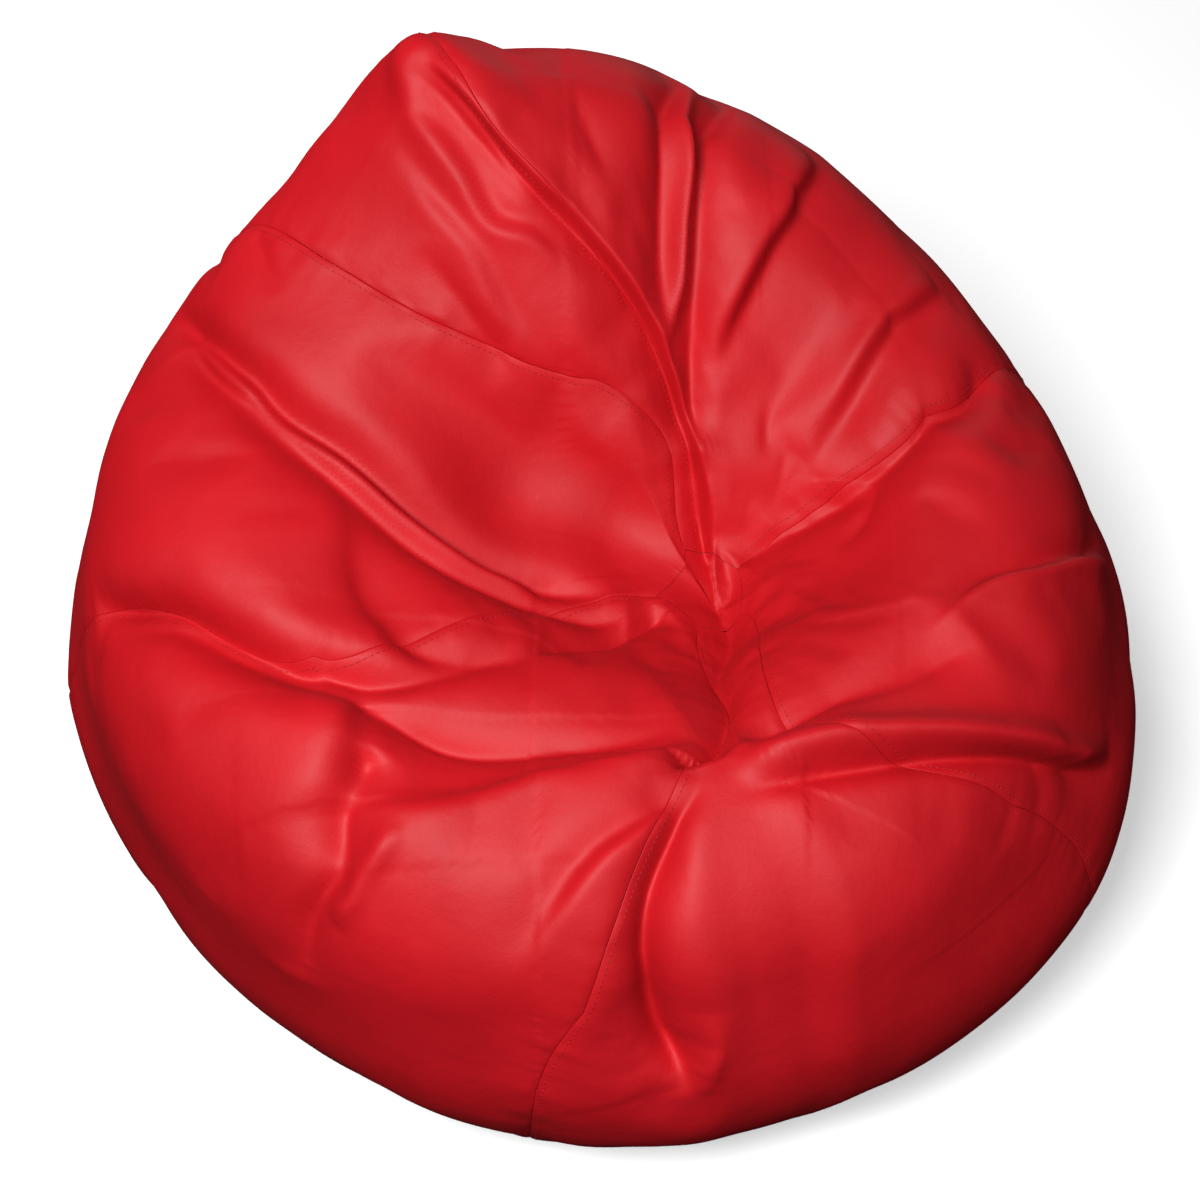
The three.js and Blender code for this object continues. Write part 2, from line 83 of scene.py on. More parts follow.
# Reaches of the crest, of the straight wall's two ends and of the base's edge, and the spans between them.
CREST, WALL_START, WALL_END, BASE_EDGE = 1.0, 1.3, 1.6, 2.0
CREST_SPAN, WALL_SPAN, BELLY_SPAN = 0.3, 0.3, 0.4
CAP_MIDDLE = 0.002

# A crease or a seam moves only the cover that faces its own way: the cosine it starts at, and how it grows.
FACING_FROM, FACING_FADE = 0.1, 0.5
TINY = 1e-9


# ---------------------------------------------------------------- curves and the form of the bag
Knots = tuple[np.ndarray, np.ndarray]


def hermite(before: Knots, start: Knots, end: Knots, after: Knots, place: np.ndarray) -> np.ndarray:
    """Value of a smooth curve between the middle two of four knots.

    Args:
        before: place and value of the knot before the stretch, as arrays.
        start: place and value of the knot that starts it.
        end: place and value of the knot that ends it.
        after: place and value of the knot after it.
        place: where the curve is read.

    Returns:
        The curve's values.
    """
    step = end[0] - start[0]
    share = (place - start[0]) / step
    leave = (end[1] - before[1]) / (end[0] - before[0]) * step
    arrive = (after[1] - start[1]) / (after[0] - start[0]) * step
    square = share * share
    cube = square * share
    return (
        (2 * cube - 3 * square + 1) * start[1]
        + (cube - 2 * square + share) * leave
        + (3 * square - 2 * cube) * end[1]
        + (cube - square) * arrive
    )


@dataclass(frozen=True)
class SmoothCurve:
    """A smooth curve through knots of (place, value), closed after a full turn or open."""

    knots: tuple[tuple[float, float], ...]
    closed: bool = False

    def at(self, place: np.ndarray | float) -> np.ndarray:
        """Reads the curve.

        Args:
            place: one place or an array of them.

        Returns:
            The values there.
        """
        place = np.asarray(place, dtype=float)
        places = [knot[0] for knot in self.knots]
        values = [knot[1] for knot in self.knots]
        if self.closed:
            place = np.mod(place, FULL_TURN)
            places = [places[-1] - FULL_TURN, *places, places[0] + FULL_TURN, places[1] + FULL_TURN]
            values = [values[-1], *values, values[0], values[1]]
        else:
            places = [places[0] - 1, *places, places[-1] + 1]
            values = [values[0], *values, values[-1]]
        knot_places = np.array(places)
        knot_values = np.array(values)
        index = np.clip(np.searchsorted(knot_places, place, side="right") - 1, 1, len(places) - 3)
        four = [(knot_places[index + i], knot_values[index + i]) for i in (-1, 0, 1, 2)]
        return hermite(*four, place)


def mix(start: float, end: float, share: float) -> float:
    """Returns the value a share of the way from start to end."""
    return start + (end - start) * share


@dataclass(frozen=True)
class BagForm:
    """The smooth form of the slumped bag, before any crease."""

    plan_radius: float = 0.480
    belly_radius: float = 0.178
    belly_height: float = 0.165
    back_crest_radius: float = 0.105
    side_crest_radius: float = 0.150
    front_crest: float = 0.405
    right_crest: float = 0.440
    left_crest: float = 0.465
    back_crest: float = 0.665
    peak_crest: float = 0.682
    back_reach: float = 0.256
    side_reach: float = 0.293
    cap_centre: tuple[float, float, float] = (0.102, -0.040, 0.322)
    shift: tuple[float, float] = (0.0, 0.0)

    def plan(self) -> SmoothCurve:
        """Shapes the belly in plan.

        Returns:
            The belly's plan radius over the bearing.
        """
        shares = (
            (0, 0.971), (30, 0.988), (60, 1.029), (90, 1.025), (120, 1.042), (150, 1.008),
            (180, 0.958), (210, 0.969), (240, 1.048), (270, 1.015), (300, 0.942), (330, 0.933),
        )
        knots = tuple((bearing, share * self.plan_radius) for bearing, share in shares)
        return SmoothCurve(knots, closed=True)

    def crest(self) -> SmoothCurve:
        """Shapes the crest: low in front, with its peak at the left of the back.

        Returns:
            The crest's height over the bearing.
        """
        knots = (
            (0, self.front_crest),
            (60, mix(self.front_crest, self.right_crest, 0.45)),
            (100, self.right_crest),
            (125, mix(self.right_crest, self.back_crest, 0.16)),
            (148, mix(self.right_crest, self.back_crest, 0.5)),
            (170, mix(self.right_crest, self.back_crest, 0.79)),
            (195, self.back_crest),
            (210, self.peak_crest),
            (222, mix(self.left_crest, self.peak_crest, 0.72)),
            (235, mix(self.left_crest, self.peak_crest, 0.4)),
            (252, mix(self.left_crest, self.peak_crest, 0.16)),
            (275, self.left_crest),
            (320, mix(self.front_crest, self.left_crest, 0.33)),
        )
        return SmoothCurve(knots, closed=True)

    def crest_roundness(self) -> SmoothCurve:
        """Returns the radius of the crest's arc over the bearing."""
        side, back = self.side_crest_radius, self.back_crest_radius
        return SmoothCurve(((0, side), (90, side), (200, back), (270, side)), closed=True)

    def crest_reach(self) -> SmoothCurve:
        """Shapes the crest in plan.

        Returns:
            The plan distance of the crest from the middle, over the bearing.
        """
        side, back = self.side_reach, self.back_reach
        knots = ((0, side), (90, side), (130, side), (180, back), (211, back), (240, side), (270, side))
        return SmoothCurve(knots, closed=True)

    def points(self, bearing: np.ndarray, reach: np.ndarray) -> np.ndarray:
        """Points on the outside of the cover.

        Args:
            bearing: bearings in degrees.
            reach: reaches, as many.

        Returns:
            An array of one row of x, y and z for each.
        """
        bearing, reach = np.broadcast_arrays(np.asarray(bearing, float), np.asarray(reach, float))
        angle = np.radians(bearing)
        outward = np.stack([np.sin(angle), -np.cos(angle)], axis=-1)
        crest_radius = self.crest_roundness().at(bearing)
        crest_x = self.crest_reach().at(bearing)
        crest_z = self.crest().at(bearing) - crest_radius
        belly_x = self.plan().at(bearing) - self.belly_radius
        across = crest_x - belly_x
        rise = crest_z - self.belly_height
        spread = np.hypot(across, rise)
        lean = np.arctan2(rise, across) - math.pi / 2 + np.arcsin((self.belly_radius - crest_radius) / spread)
        foot = -math.asin(self.belly_height / self.belly_radius)

        def on_crest(tilt: np.ndarray) -> tuple[np.ndarray, np.ndarray]:
            """Returns the crest arc's plan distance and height at tilts."""
            return crest_x + crest_radius * np.cos(tilt), crest_z + crest_radius * np.sin(tilt)

        def on_belly(tilt: np.ndarray) -> tuple[np.ndarray, np.ndarray]:
            """Returns the belly arc's plan distance and height at tilts."""
            radius = self.belly_radius
            return belly_x + radius * np.cos(tilt), self.belly_height + radius * np.sin(tilt)

        crest_share = np.clip((reach - CREST) / CREST_SPAN, 0, 1)
        wall_share = np.clip((reach - WALL_START) / WALL_SPAN, 0, 1)
        belly_share = np.clip((reach - WALL_END) / BELLY_SPAN, 0, 1)
        arc_x, arc_z = on_crest(math.pi / 2 + (lean - math.pi / 2) * crest_share)
        low_x, low_z = on_belly(lean)
        foot_x, foot_z = on_belly(lean + (foot - lean) * belly_share)
        wall_x = arc_x + (low_x - arc_x) * wall_share + (foot_x - low_x) * (reach > WALL_END)
        wall_z = arc_z + (low_z - arc_z) * wall_share + (foot_z - low_z) * (reach > WALL_END)
        outside = np.concatenate([outward * wall_x[..., None], wall_z[..., None]], axis=-1)

        cap = np.array(self.cap_centre)
        inner = np.clip(reach, 0, 1)
        top = np.concatenate([outward * crest_x[..., None], (crest_z + crest_radius)[..., None]], axis=-1)
        inside = cap + (top - cap) * inner[..., None]
        inside[..., 2] = cap[2] + (top[..., 2] - cap[2]) * inner * inner * (3 - 2 * inner)
        result = np.where((reach <= CREST)[..., None], inside, outside)
        result[..., 0] += self.shift[0]
        result[..., 1] += self.shift[1]
        return result

    def normals(self, bearing: np.ndarray, reach: np.ndarray) -> np.ndarray:
        """Outward directions of the smooth form.

        Args:
            bearing: bearings in degrees.
            reach: reaches, as many.

        Returns:
            One row of x, y and z of length 1 for each.
        """
        turn_step, reach_step = 0.5, 0.004
        low = np.maximum(reach - reach_step, reach_step)
        middle = np.maximum(reach, 2 * reach_step)
        high = np.minimum(middle + reach_step, BASE_EDGE)
        down = self.points(bearing, high) - self.points(bearing, low)
        across = self.points(bearing + turn_step, middle) - self.points(bearing - turn_step, middle)
        normal = np.cross(down, across)
        return normal / np.linalg.norm(normal, axis=-1, keepdims=True)


def step_aside(
    form: BagForm, bearing: np.ndarray, reach: np.ndarray, offset: np.ndarray
) -> tuple[np.ndarray, np.ndarray]:
    """Bearings and reaches of places that lie short offsets away on the form.

    Args:
        form: the smooth form.
        bearing: bearings of the starting places.
        reach: their reaches.
        offset: rows of x, y and z to step by, along the surface.

    Returns:
        The new bearings and the new reaches.
    """
    turn_step, reach_step = 0.4, 0.004
    turn = form.points(bearing + turn_step, reach) - form.points(bearing - turn_step, reach)
    turn /= 2 * turn_step
    down = form.points(bearing, reach + reach_step) - form.points(bearing, reach - reach_step)
    down /= 2 * reach_step
    turn_turn, turn_down = np.sum(turn * turn, axis=1), np.sum(turn * down, axis=1)
    down_down = np.sum(down * down, axis=1)
    by_turn, by_down = np.sum(turn * offset, axis=1), np.sum(down * offset, axis=1)
    area = turn_turn * down_down - turn_down**2
    return (
        bearing + (down_down * by_turn - turn_down * by_down) / area,
        reach + (turn_turn * by_down - turn_down * by_turn) / area,
    )


# ---------------------------------------------------------------- seams
class Seam(Enum):
    """The seams between the gores, each with its knots of (reach, bearing)."""

    FRONT = ((0, 0), (0.13, 0), (0.34, 12), (0.62, 20), (0.94, 17), (1.1, 6), (1.25, 0), (1.5, -5), (2, -8))
    RIGHT_FRONT = (
        (0, 58), (0.13, 58), (0.34, 42), (0.62, 32), (0.94, 31), (1.1, 39), (1.25, 49), (1.5, 56), (2, 62),
    )
    RIGHT_BACK = (
        (0, 121), (0.13, 121), (0.4, 110), (0.74, 102), (1.04, 104), (1.2, 112), (1.5, 117), (2, 118),
    )
    BACK = ((0, 162), (0.13, 162), (0.34, 170), (0.5, 181), (0.62, 194), (0.8, 208), (1, 208), (2, 208))
    LEFT_BACK = (
        (0, 192), (0.13, 192), (0.34, 184), (0.46, 217), (0.7, 234), (0.92, 238), (1.2, 235), (2, 232),
    )
    LEFT = ((0, 288), (0.13, 288), (0.5, 306), (0.8, 312), (1.0, 310), (1.13, 291), (1.3, 282), (2, 272))

    def bearing(self, reach: np.ndarray) -> np.ndarray:
        """Returns the seam's bearings at reaches."""
        return SmoothCurve(self.value).at(reach)


SEAMS = tuple(Seam)
GORE_NAMES = ("front_panel", "right_panel", "back_panel", "back_left_panel", "left_panel", "front_left_panel")


# ---------------------------------------------------------------- creases
# How much wider than a valley its swollen sides are, and how far a lap's under side sinks for its rise.
SWELL_WIDTH = 2.6
LAP_SINK = 0.7


class Fold(Enum):
    """How the leatherette lies along a crease."""

    VALLEY = "valley"
    RIDGE = "ridge"
    LAP = "lap"


def smooth_step(share: np.ndarray) -> np.ndarray:
    """Returns a smooth rise from 0 to 1 over a share of 0 to 1."""
    share = np.clip(share, 0, 1)
    return share * share * (3 - 2 * share)


@dataclass(frozen=True)
class Nearest:
    """Where points find a line that is near: which points, how far off, at which step and on which side."""

    chosen: np.ndarray
    distance: np.ndarray
    step: np.ndarray
    side: np.ndarray
    facing: np.ndarray


def nearest_on_line(
    line: np.ndarray, line_normals: np.ndarray, points: np.ndarray, normals: np.ndarray, span: float
) -> Nearest:
    """Finds the nearest place of a line for each point near it.

    Args:
        line: rows of x, y and z along the line.
        line_normals: the cover's outward directions there.
        points: the points to place.
        normals: the cover's outward directions there.
        span: how far from the line's box a point may lie.

    Returns:
        Distances, steps along the line, sides (left of it positive) and how alike the outward directions are.
    """
    near = np.all((points > line.min(axis=0) - span) & (points < line.max(axis=0) + span), axis=1)
    chosen = np.flatnonzero(near)
    spots, directions = points[chosen], normals[chosen]
    best = np.full(len(spots), np.inf)
    step = np.zeros(len(spots))
    side = np.ones(len(spots))
    facing = np.ones(len(spots))
    for i in range(len(line) - 1):
        edge = line[i + 1] - line[i]
        offset = spots - line[i]
        share = np.clip(offset @ edge / (edge @ edge), 0, 1)
        gap = offset - share[:, None] * edge
        distance = np.einsum("ij,ij->i", gap, gap)
        closer = distance < best
        best[closer] = distance[closer]
        step[closer] = i + share[closer]
        side[closer] = np.sign(gap[closer] @ np.cross(line_normals[i], edge))
        facing[closer] = directions[closer] @ line_normals[i]
    return Nearest(chosen, np.sqrt(best), step, side, facing)


@dataclass(frozen=True)
class Crease:
    """One crease along a path of (bearing, reach) points. Left is left of the path, seen from outside."""

    name: str
    path: tuple[tuple[float, float], ...]
    depth: float
    left: float
    right: float
    fold: Fold = Fold.VALLEY
    swell: float = 0.3
    bottom: float = 3 * MM
    fade_in: float = 0.15
    fade_out: float = 0.2

    def sampled(self, form: BagForm, count: int = 48) -> tuple[np.ndarray, np.ndarray]:
        """Follows the crease on the smooth form.

        Args:
            form: the smooth form.
            count: how many points to give.

        Returns:
            The points and the outward directions there.
        """
        knots = np.array(self.path, dtype=float)
        bearing = np.degrees(np.unwrap(np.radians(knots[:, 0])))
        line = form.points(bearing, knots[:, 1])
        length = np.concatenate([[0], np.cumsum(np.linalg.norm(np.diff(line, axis=0), axis=1))])
        place = np.linspace(0, length[-1], count)
        turn = SmoothCurve(tuple(zip(length, bearing))).at(place)
        reach = SmoothCurve(tuple(zip(length, knots[:, 1]))).at(place)
        return form.points(turn, reach), form.normals(turn, reach)

    def profile(self, distance: np.ndarray, side: np.ndarray) -> np.ndarray:
        """The crease's cross-section, for a depth of 1.

        Args:
            distance: distances from its path.
            side: 1 on the left of the path and -1 on the right.

        Returns:
            Heights, outwards positive.
        """
        width = np.where(side >= 0, self.left, self.right)
        if self.fold is Fold.VALLEY:
            soft = np.sqrt(distance * distance + self.bottom * self.bottom) - self.bottom
            return -np.exp(-soft / width) + self.swell * np.exp(-soft / (SWELL_WIDTH * width))
        if self.fold is Fold.RIDGE:
            return np.exp(-((distance / width) ** 2))
        raised = np.exp(-distance / width)
        step = 0.5 + 0.5 * np.tanh(side * distance / self.bottom)
        return raised * step - LAP_SINK * raised * (1 - step)

    def lift(self, form: BagForm, points: np.ndarray, normals: np.ndarray) -> np.ndarray:
        """How far the crease moves points along their outward directions.

        Args:
            form: the smooth form.
            points: points on it.
            normals: its outward directions there.

        Returns:
            One distance for each point, outwards positive.
        """
        line, line_normals = self.sampled(form)
        found = nearest_on_line(line, line_normals, points, normals, 5 * max(self.left, self.right))
        place = found.step / (len(line) - 1)
        fade = smooth_step(place / self.fade_in)
        if self.fade_out > 0:
            fade = fade * smooth_step((1 - place) / self.fade_out)
        alike = smooth_step((found.facing - FACING_FROM) / FACING_FADE)
        lift = np.zeros(len(points))
        lift[found.chosen] = self.depth * self.profile(found.distance, found.side) * fade * alike
        return lift


@dataclass(frozen=True)
class Hollow:
    """A broad dent (or, with a negative depth, a swelling) round one place."""

    name: str
    place: tuple[float, float]
    radius: float
    depth: float

    def lift(self, form: BagForm, points: np.ndarray) -> np.ndarray:
        """How far the dent moves points along their outward directions.

        Args:
            form: the smooth form.
            points: points on it.

        Returns:
            One distance for each point, outwards positive.
        """
        middle = form.points(np.array([self.place[0]]), np.array([self.place[1]]))[0]
        distance = np.linalg.norm(points - middle, axis=1)
        return -self.depth * np.exp(-((distance / self.radius) ** 2))


CREASES = (
    # The seam in the back, where the left side laps over the right, and the deep valley it runs into.
    Crease("back_lap", ((211, 1.02), (210, 0.84), (206, 0.73), (199, 0.67), (190, 0.60), (181, 0.52),
                        (174, 0.42), (166, 0.28), (159, 0.12)),
           15 * MM, 26 * MM, 18 * MM, Fold.LAP, bottom=2.5 * MM, fade_in=0.12, fade_out=0),
    Crease("hollow_pinch", ((166, 0.34), (160, 0.16), (60, 0.03), (22, 0.3), (20, 0.68), (18, 0.94),
                            (15, 1.03)),
           36 * MM, 20 * MM, 26 * MM, fade_in=0.3, fade_out=0.05),
    Crease("front_valley", ((16, 0.98), (15, 1.03), (11, 1.07), (7, 1.13), (5, 1.2), (5, 1.3), (6, 1.45),
                            (9, 1.63)),
           40 * MM, 16 * MM, 15 * MM, fade_in=0.02, fade_out=0.16),
    Crease("front_valley_lap", ((8.5, 1.62), (6, 1.45), (5, 1.3), (5, 1.2), (7, 1.13), (11, 1.07)),
           10 * MM, 26 * MM, 30 * MM, Fold.LAP, bottom=5 * MM),
    Crease("front_valley_ridge", ((12.5, 1.36), (12, 1.5), (10.5, 1.63)),
           7 * MM, 11 * MM, 13 * MM, Fold.RIDGE, fade_in=0.6, fade_out=0.3),
    Crease("front_left_valley", ((14, 1.03), (7, 1.07), (0, 1.11), (356, 1.16), (352, 1.23)),
           14 * MM, 20 * MM, 26 * MM, Fold.LAP, bottom=8 * MM, fade_in=0.2, fade_out=0.5),
    # The back's pleat and the folds that fan out to its right.
    Crease("pleat_ridge", ((165, 1.14), (163, 0.9), (165, 0.74), (169, 0.6), (175, 0.5)),
           13 * MM, 8 * MM, 8 * MM, Fold.RIDGE, fade_in=0.35),
    Crease("pleat_left_valley", ((167, 1.14), (167, 1.0), (169, 0.8), (173, 0.64), (177, 0.52)),
           22 * MM, 14 * MM, 12 * MM, bottom=4 * MM, fade_in=0.3, fade_out=0.25),
    Crease("pleat_right_valley", ((160, 1.2), (159, 0.92), (161, 0.72), (164, 0.56), (167, 0.42),
                                  (166, 0.34)),
           30 * MM, 12 * MM, 22 * MM, bottom=4 * MM, fade_in=0.3, fade_out=0.1),
    Crease("back_fold_a", ((157, 0.5), (151, 0.64), (147, 0.76), (143, 0.94), (145, 1.12)),
           19 * MM, 34 * MM, 30 * MM, Fold.LAP, bottom=9 * MM, fade_in=0.3, fade_out=0.25),
    Crease("back_fold_b", ((117, 0.5), (118, 0.7), (119, 0.88), (120, 1.0), (123, 1.14)),
           17 * MM, 30 * MM, 28 * MM, Fold.LAP, bottom=8 * MM, fade_in=0.35, fade_out=0.25),
    Crease("right_fold", ((113, 1.22), (110, 1.15), (103, 1.02), (101, 0.72), (108, 0.4), (121, 0.14)),
           30 * MM, 20 * MM, 24 * MM, bottom=4 * MM, fade_in=0.2, fade_out=0.1),
    Crease("right_fold_step", ((121, 0.2), (108, 0.4), (101, 0.72), (103, 1.02), (110, 1.15)),
           9 * MM, 26 * MM, 30 * MM, Fold.LAP, bottom=7 * MM, fade_in=0.2, fade_out=0.25),
    Crease("right_streak_a", ((118, 0.3), (112, 0.42), (104, 0.5), (94, 0.56)),
           12 * MM, 14 * MM, 20 * MM, bottom=5 * MM, fade_in=0.3, fade_out=0.5),
    Crease("right_streak_b", ((100, 0.66), (92, 0.62), (84, 0.5)),
           11 * MM, 14 * MM, 20 * MM, bottom=5 * MM, fade_in=0.3, fade_out=0.5),
    Crease("arm_curl", ((94, 1.44), (84, 1.24), (77, 1.15), (71, 1.08), (65, 1.05), (58, 1.03)),
           21 * MM, 18 * MM, 15 * MM, Fold.LAP, bottom=5 * MM, fade_in=0.35, fade_out=0.35),
    Crease("arm_valley", ((62, 1.1), (52, 1.06), (42, 1.01), (32, 0.97), (22, 0.92)),
           30 * MM, 28 * MM, 26 * MM, bottom=5 * MM, fade_in=0.25, fade_out=0.15),
    Crease("arm_valley_step", ((62, 1.08), (52, 1.05), (42, 1.01), (32, 0.98), (22, 0.94)),
           16 * MM, 26 * MM, 50 * MM, Fold.LAP, bottom=16 * MM, fade_in=0.3),
    Crease("front_ridge", ((69, 1.55), (63, 1.4), (58, 1.27), (48, 1.14), (37, 1.06), (26, 1.03),
                           (16, 1.02)),
           22 * MM, 15 * MM, 15 * MM, Fold.RIDGE, fade_in=0.2, fade_out=0.1),
    Crease("front_ridge_under", ((68, 1.59), (62, 1.44), (57, 1.3), (47, 1.175), (36, 1.1), (25, 1.065),
                                 (15, 1.06)),
           22 * MM, 8 * MM, 11 * MM, fade_in=0.2, fade_out=0.25),
    # The pocket at the front left.
    Crease("pocket", ((327, 1.04), (328, 1.1), (330, 1.15), (333, 1.2)),
           26 * MM, 16 * MM, 14 * MM, bottom=5 * MM, fade_in=0.2, fade_out=0.4),
    Crease("pocket_tail", ((331, 1.17), (329, 1.24), (329, 1.31)),
           14 * MM, 14 * MM, 12 * MM, bottom=4 * MM, fade_in=0.3, fade_out=0.5),
    Crease("pocket_ridge", ((336, 1.1), (334, 1.16), (332, 1.23)),
           9 * MM, 12 * MM, 12 * MM, Fold.RIDGE, fade_in=0.3, fade_out=0.4),
    Crease("pocket_edge", ((16, 0.88), (3, 0.94), (349, 1.01), (339, 1.06), (331, 1.09)),
           19 * MM, 34 * MM, 40 * MM, Fold.LAP, bottom=12 * MM, fade_in=0.2),
    Crease("pocket_side", ((330, 1.11), (326, 1.06), (320, 1.0), (316, 0.94)),
           14 * MM, 36 * MM, 36 * MM, Fold.LAP, bottom=11 * MM, fade_in=0.25, fade_out=0.4),
    # The folds over the left arm.
    Crease("left_arm_upper", ((283, 1.26), (291, 1.13), (298, 1.08), (306, 1.04), (313, 1.0), (319, 0.9),
                              (322, 0.76), (324, 0.58)),
           36 * MM, 15 * MM, 22 * MM, bottom=4 * MM, fade_in=0.12, fade_out=0.35),
    Crease("left_arm_lower", ((287, 1.24), (294, 1.13), (302, 1.08), (312, 1.03), (325, 0.98), (334, 0.94),
                              (351, 0.84), (12, 0.8)),
           28 * MM, 22 * MM, 20 * MM, bottom=5 * MM, fade_in=0.2),
    Crease("left_arm_step", ((324, 0.76), (313, 0.81), (300, 0.83), (284, 0.8), (274, 0.8)),
           16 * MM, 44 * MM, 44 * MM, Fold.LAP, bottom=20 * MM, fade_in=0.3, fade_out=0.4),
    Crease("left_arm_streak", ((309, 0.84), (318, 0.74), (326, 0.62), (334, 0.54)),
           16 * MM, 16 * MM, 18 * MM, bottom=5 * MM, fade_in=0.3, fade_out=0.5),
    Crease("left_back_groove", ((245, 1.26), (252, 1.12), (257, 1.03), (263, 0.92), (268, 0.76),
                                (275, 0.62), (281, 0.5), (286, 0.36), (292, 0.24)),
           34 * MM, 15 * MM, 16 * MM, bottom=4.5 * MM, fade_in=0.14, fade_out=0.1),
    Crease("left_back_ridge", ((250, 1.16), (257.5, 1.05), (264.5, 0.94), (270, 0.8), (277, 0.67),
                               (284, 0.53), (290, 0.38)),
           13 * MM, 10 * MM, 10 * MM, Fold.RIDGE, fade_in=0.14, fade_out=0.1),
    Crease("left_back_groove_low", ((252, 1.16), (262, 1.01), (270, 0.86), (278, 0.72), (288, 0.58),
                                    (297, 0.43), (315, 0.24)),
           28 * MM, 13 * MM, 28 * MM, bottom=4.5 * MM, fade_in=0.14, fade_out=0.1),
    Crease("tongue_return", ((318, 0.14), (325, 0.24), (327, 0.34), (325, 0.46), (326, 0.62)),
           22 * MM, 12 * MM, 12 * MM, fade_in=0.1, fade_out=0.4),
    # Small folds under the peak and beside the left back seam.
    Crease("peak_fold_a", ((213, 1.04), (214, 0.9), (213, 0.8), (210, 0.7)),
           11 * MM, 9 * MM, 12 * MM, bottom=4 * MM, fade_in=0.3, fade_out=0.4),
    Crease("peak_fold_b", ((221, 0.52), (223, 0.62), (222, 0.72), (223, 0.84), (222, 0.98)),
           10 * MM, 22 * MM, 22 * MM, Fold.LAP, bottom=9 * MM, fade_in=0.35, fade_out=0.35),
    Crease("peak_fold_c", ((206, 0.6), (212, 0.66), (217, 0.72), (217, 0.82), (217, 1.0)),
           12 * MM, 18 * MM, 20 * MM, Fold.LAP, bottom=7 * MM, fade_in=0.35, fade_out=0.3),
    Crease("peak_fold_d", ((228, 0.8), (229, 0.68), (230, 0.54)),
           9 * MM, 12 * MM, 16 * MM, bottom=5 * MM, fade_in=0.4, fade_out=0.4),
    Crease("back_streak", ((186, 0.98), (187, 0.84), (186, 0.72)),
           9 * MM, 14 * MM, 18 * MM, bottom=6 * MM, fade_in=0.4, fade_out=0.5),
    Crease("seam_tuck_a", ((236, 1.28), (240, 1.2), (244, 1.14)),
           8 * MM, 9 * MM, 9 * MM, fade_in=0.3, fade_out=0.5),
    Crease("seam_tuck_b", ((237, 1.12), (241, 1.06), (245, 1.0)),
           8 * MM, 9 * MM, 9 * MM, fade_in=0.3, fade_out=0.5),
    # Soft drapes down the back and the sides, and the sags above the floor.
    Crease("back_drape_a", ((197, 1.1), (191, 1.28), (186, 1.46)),
           11 * MM, 34 * MM, 30 * MM, bottom=10 * MM, fade_in=0.4, fade_out=0.6),
    Crease("back_drape_b", ((171, 1.16), (167, 1.36), (169, 1.62)),
           12 * MM, 26 * MM, 36 * MM, bottom=9 * MM, fade_in=0.4, fade_out=0.6),
    Crease("back_drape_c", ((224, 1.12), (231, 1.3), (236, 1.48)),
           11 * MM, 28 * MM, 34 * MM, bottom=9 * MM, fade_in=0.4, fade_out=0.6),
    Crease("back_drape_d", ((147, 1.18), (141, 1.38), (143, 1.6)),
           12 * MM, 30 * MM, 26 * MM, bottom=9 * MM, fade_in=0.4, fade_out=0.6),
    Crease("back_drape_e", ((181, 1.36), (175, 1.56), (171, 1.74)),
           9 * MM, 24 * MM, 30 * MM, bottom=9 * MM, fade_in=0.5, fade_out=0.5),
    Crease("left_drape", ((252, 1.34), (247, 1.5), (246, 1.7)),
           10 * MM, 26 * MM, 30 * MM, bottom=9 * MM, fade_in=0.5, fade_out=0.5),
    Crease("back_sag", ((126, 1.7), (142, 1.75), (160, 1.78), (178, 1.76)),
           8 * MM, 18 * MM, 24 * MM, bottom=7 * MM, fade_in=0.5, fade_out=0.5),
    Crease("back_left_sag", ((224, 1.76), (238, 1.79), (254, 1.76)),
           8 * MM, 18 * MM, 22 * MM, bottom=7 * MM, fade_in=0.5, fade_out=0.5),
    Crease("right_sag", ((82, 1.66), (96, 1.72), (112, 1.74), (122, 1.7)),
           8 * MM, 20 * MM, 24 * MM, bottom=7 * MM, fade_in=0.5, fade_out=0.5),
    Crease("left_sag", ((262, 1.7), (272, 1.74), (284, 1.72)),
           7 * MM, 18 * MM, 24 * MM, bottom=7 * MM, fade_in=0.5, fade_out=0.5),
)

HOLLOWS = (
    Hollow("under_back_pillow", (260, 0.44), 62 * MM, 24 * MM),
    Hollow("beside_cap", (235, 0.22), 50 * MM, 14 * MM),
    Hollow("front_left_dish", (337, 0.98), 64 * MM, 24 * MM),
    Hollow("left_arm_dish", (303, 0.84), 56 * MM, 22 * MM),
    Hollow("right_dish", (80, 0.62), 80 * MM, 12 * MM),
    Hollow("back_right_dish", (130, 0.62), 60 * MM, 10 * MM),
    Hollow("front_pillow", (28, 1.36), 130 * MM, -12 * MM),
    Hollow("left_back_pillow", (240, 0.72), 90 * MM, -14 * MM),
    Hollow("peak_ear", (212, 1.06), 30 * MM, -14 * MM),
)


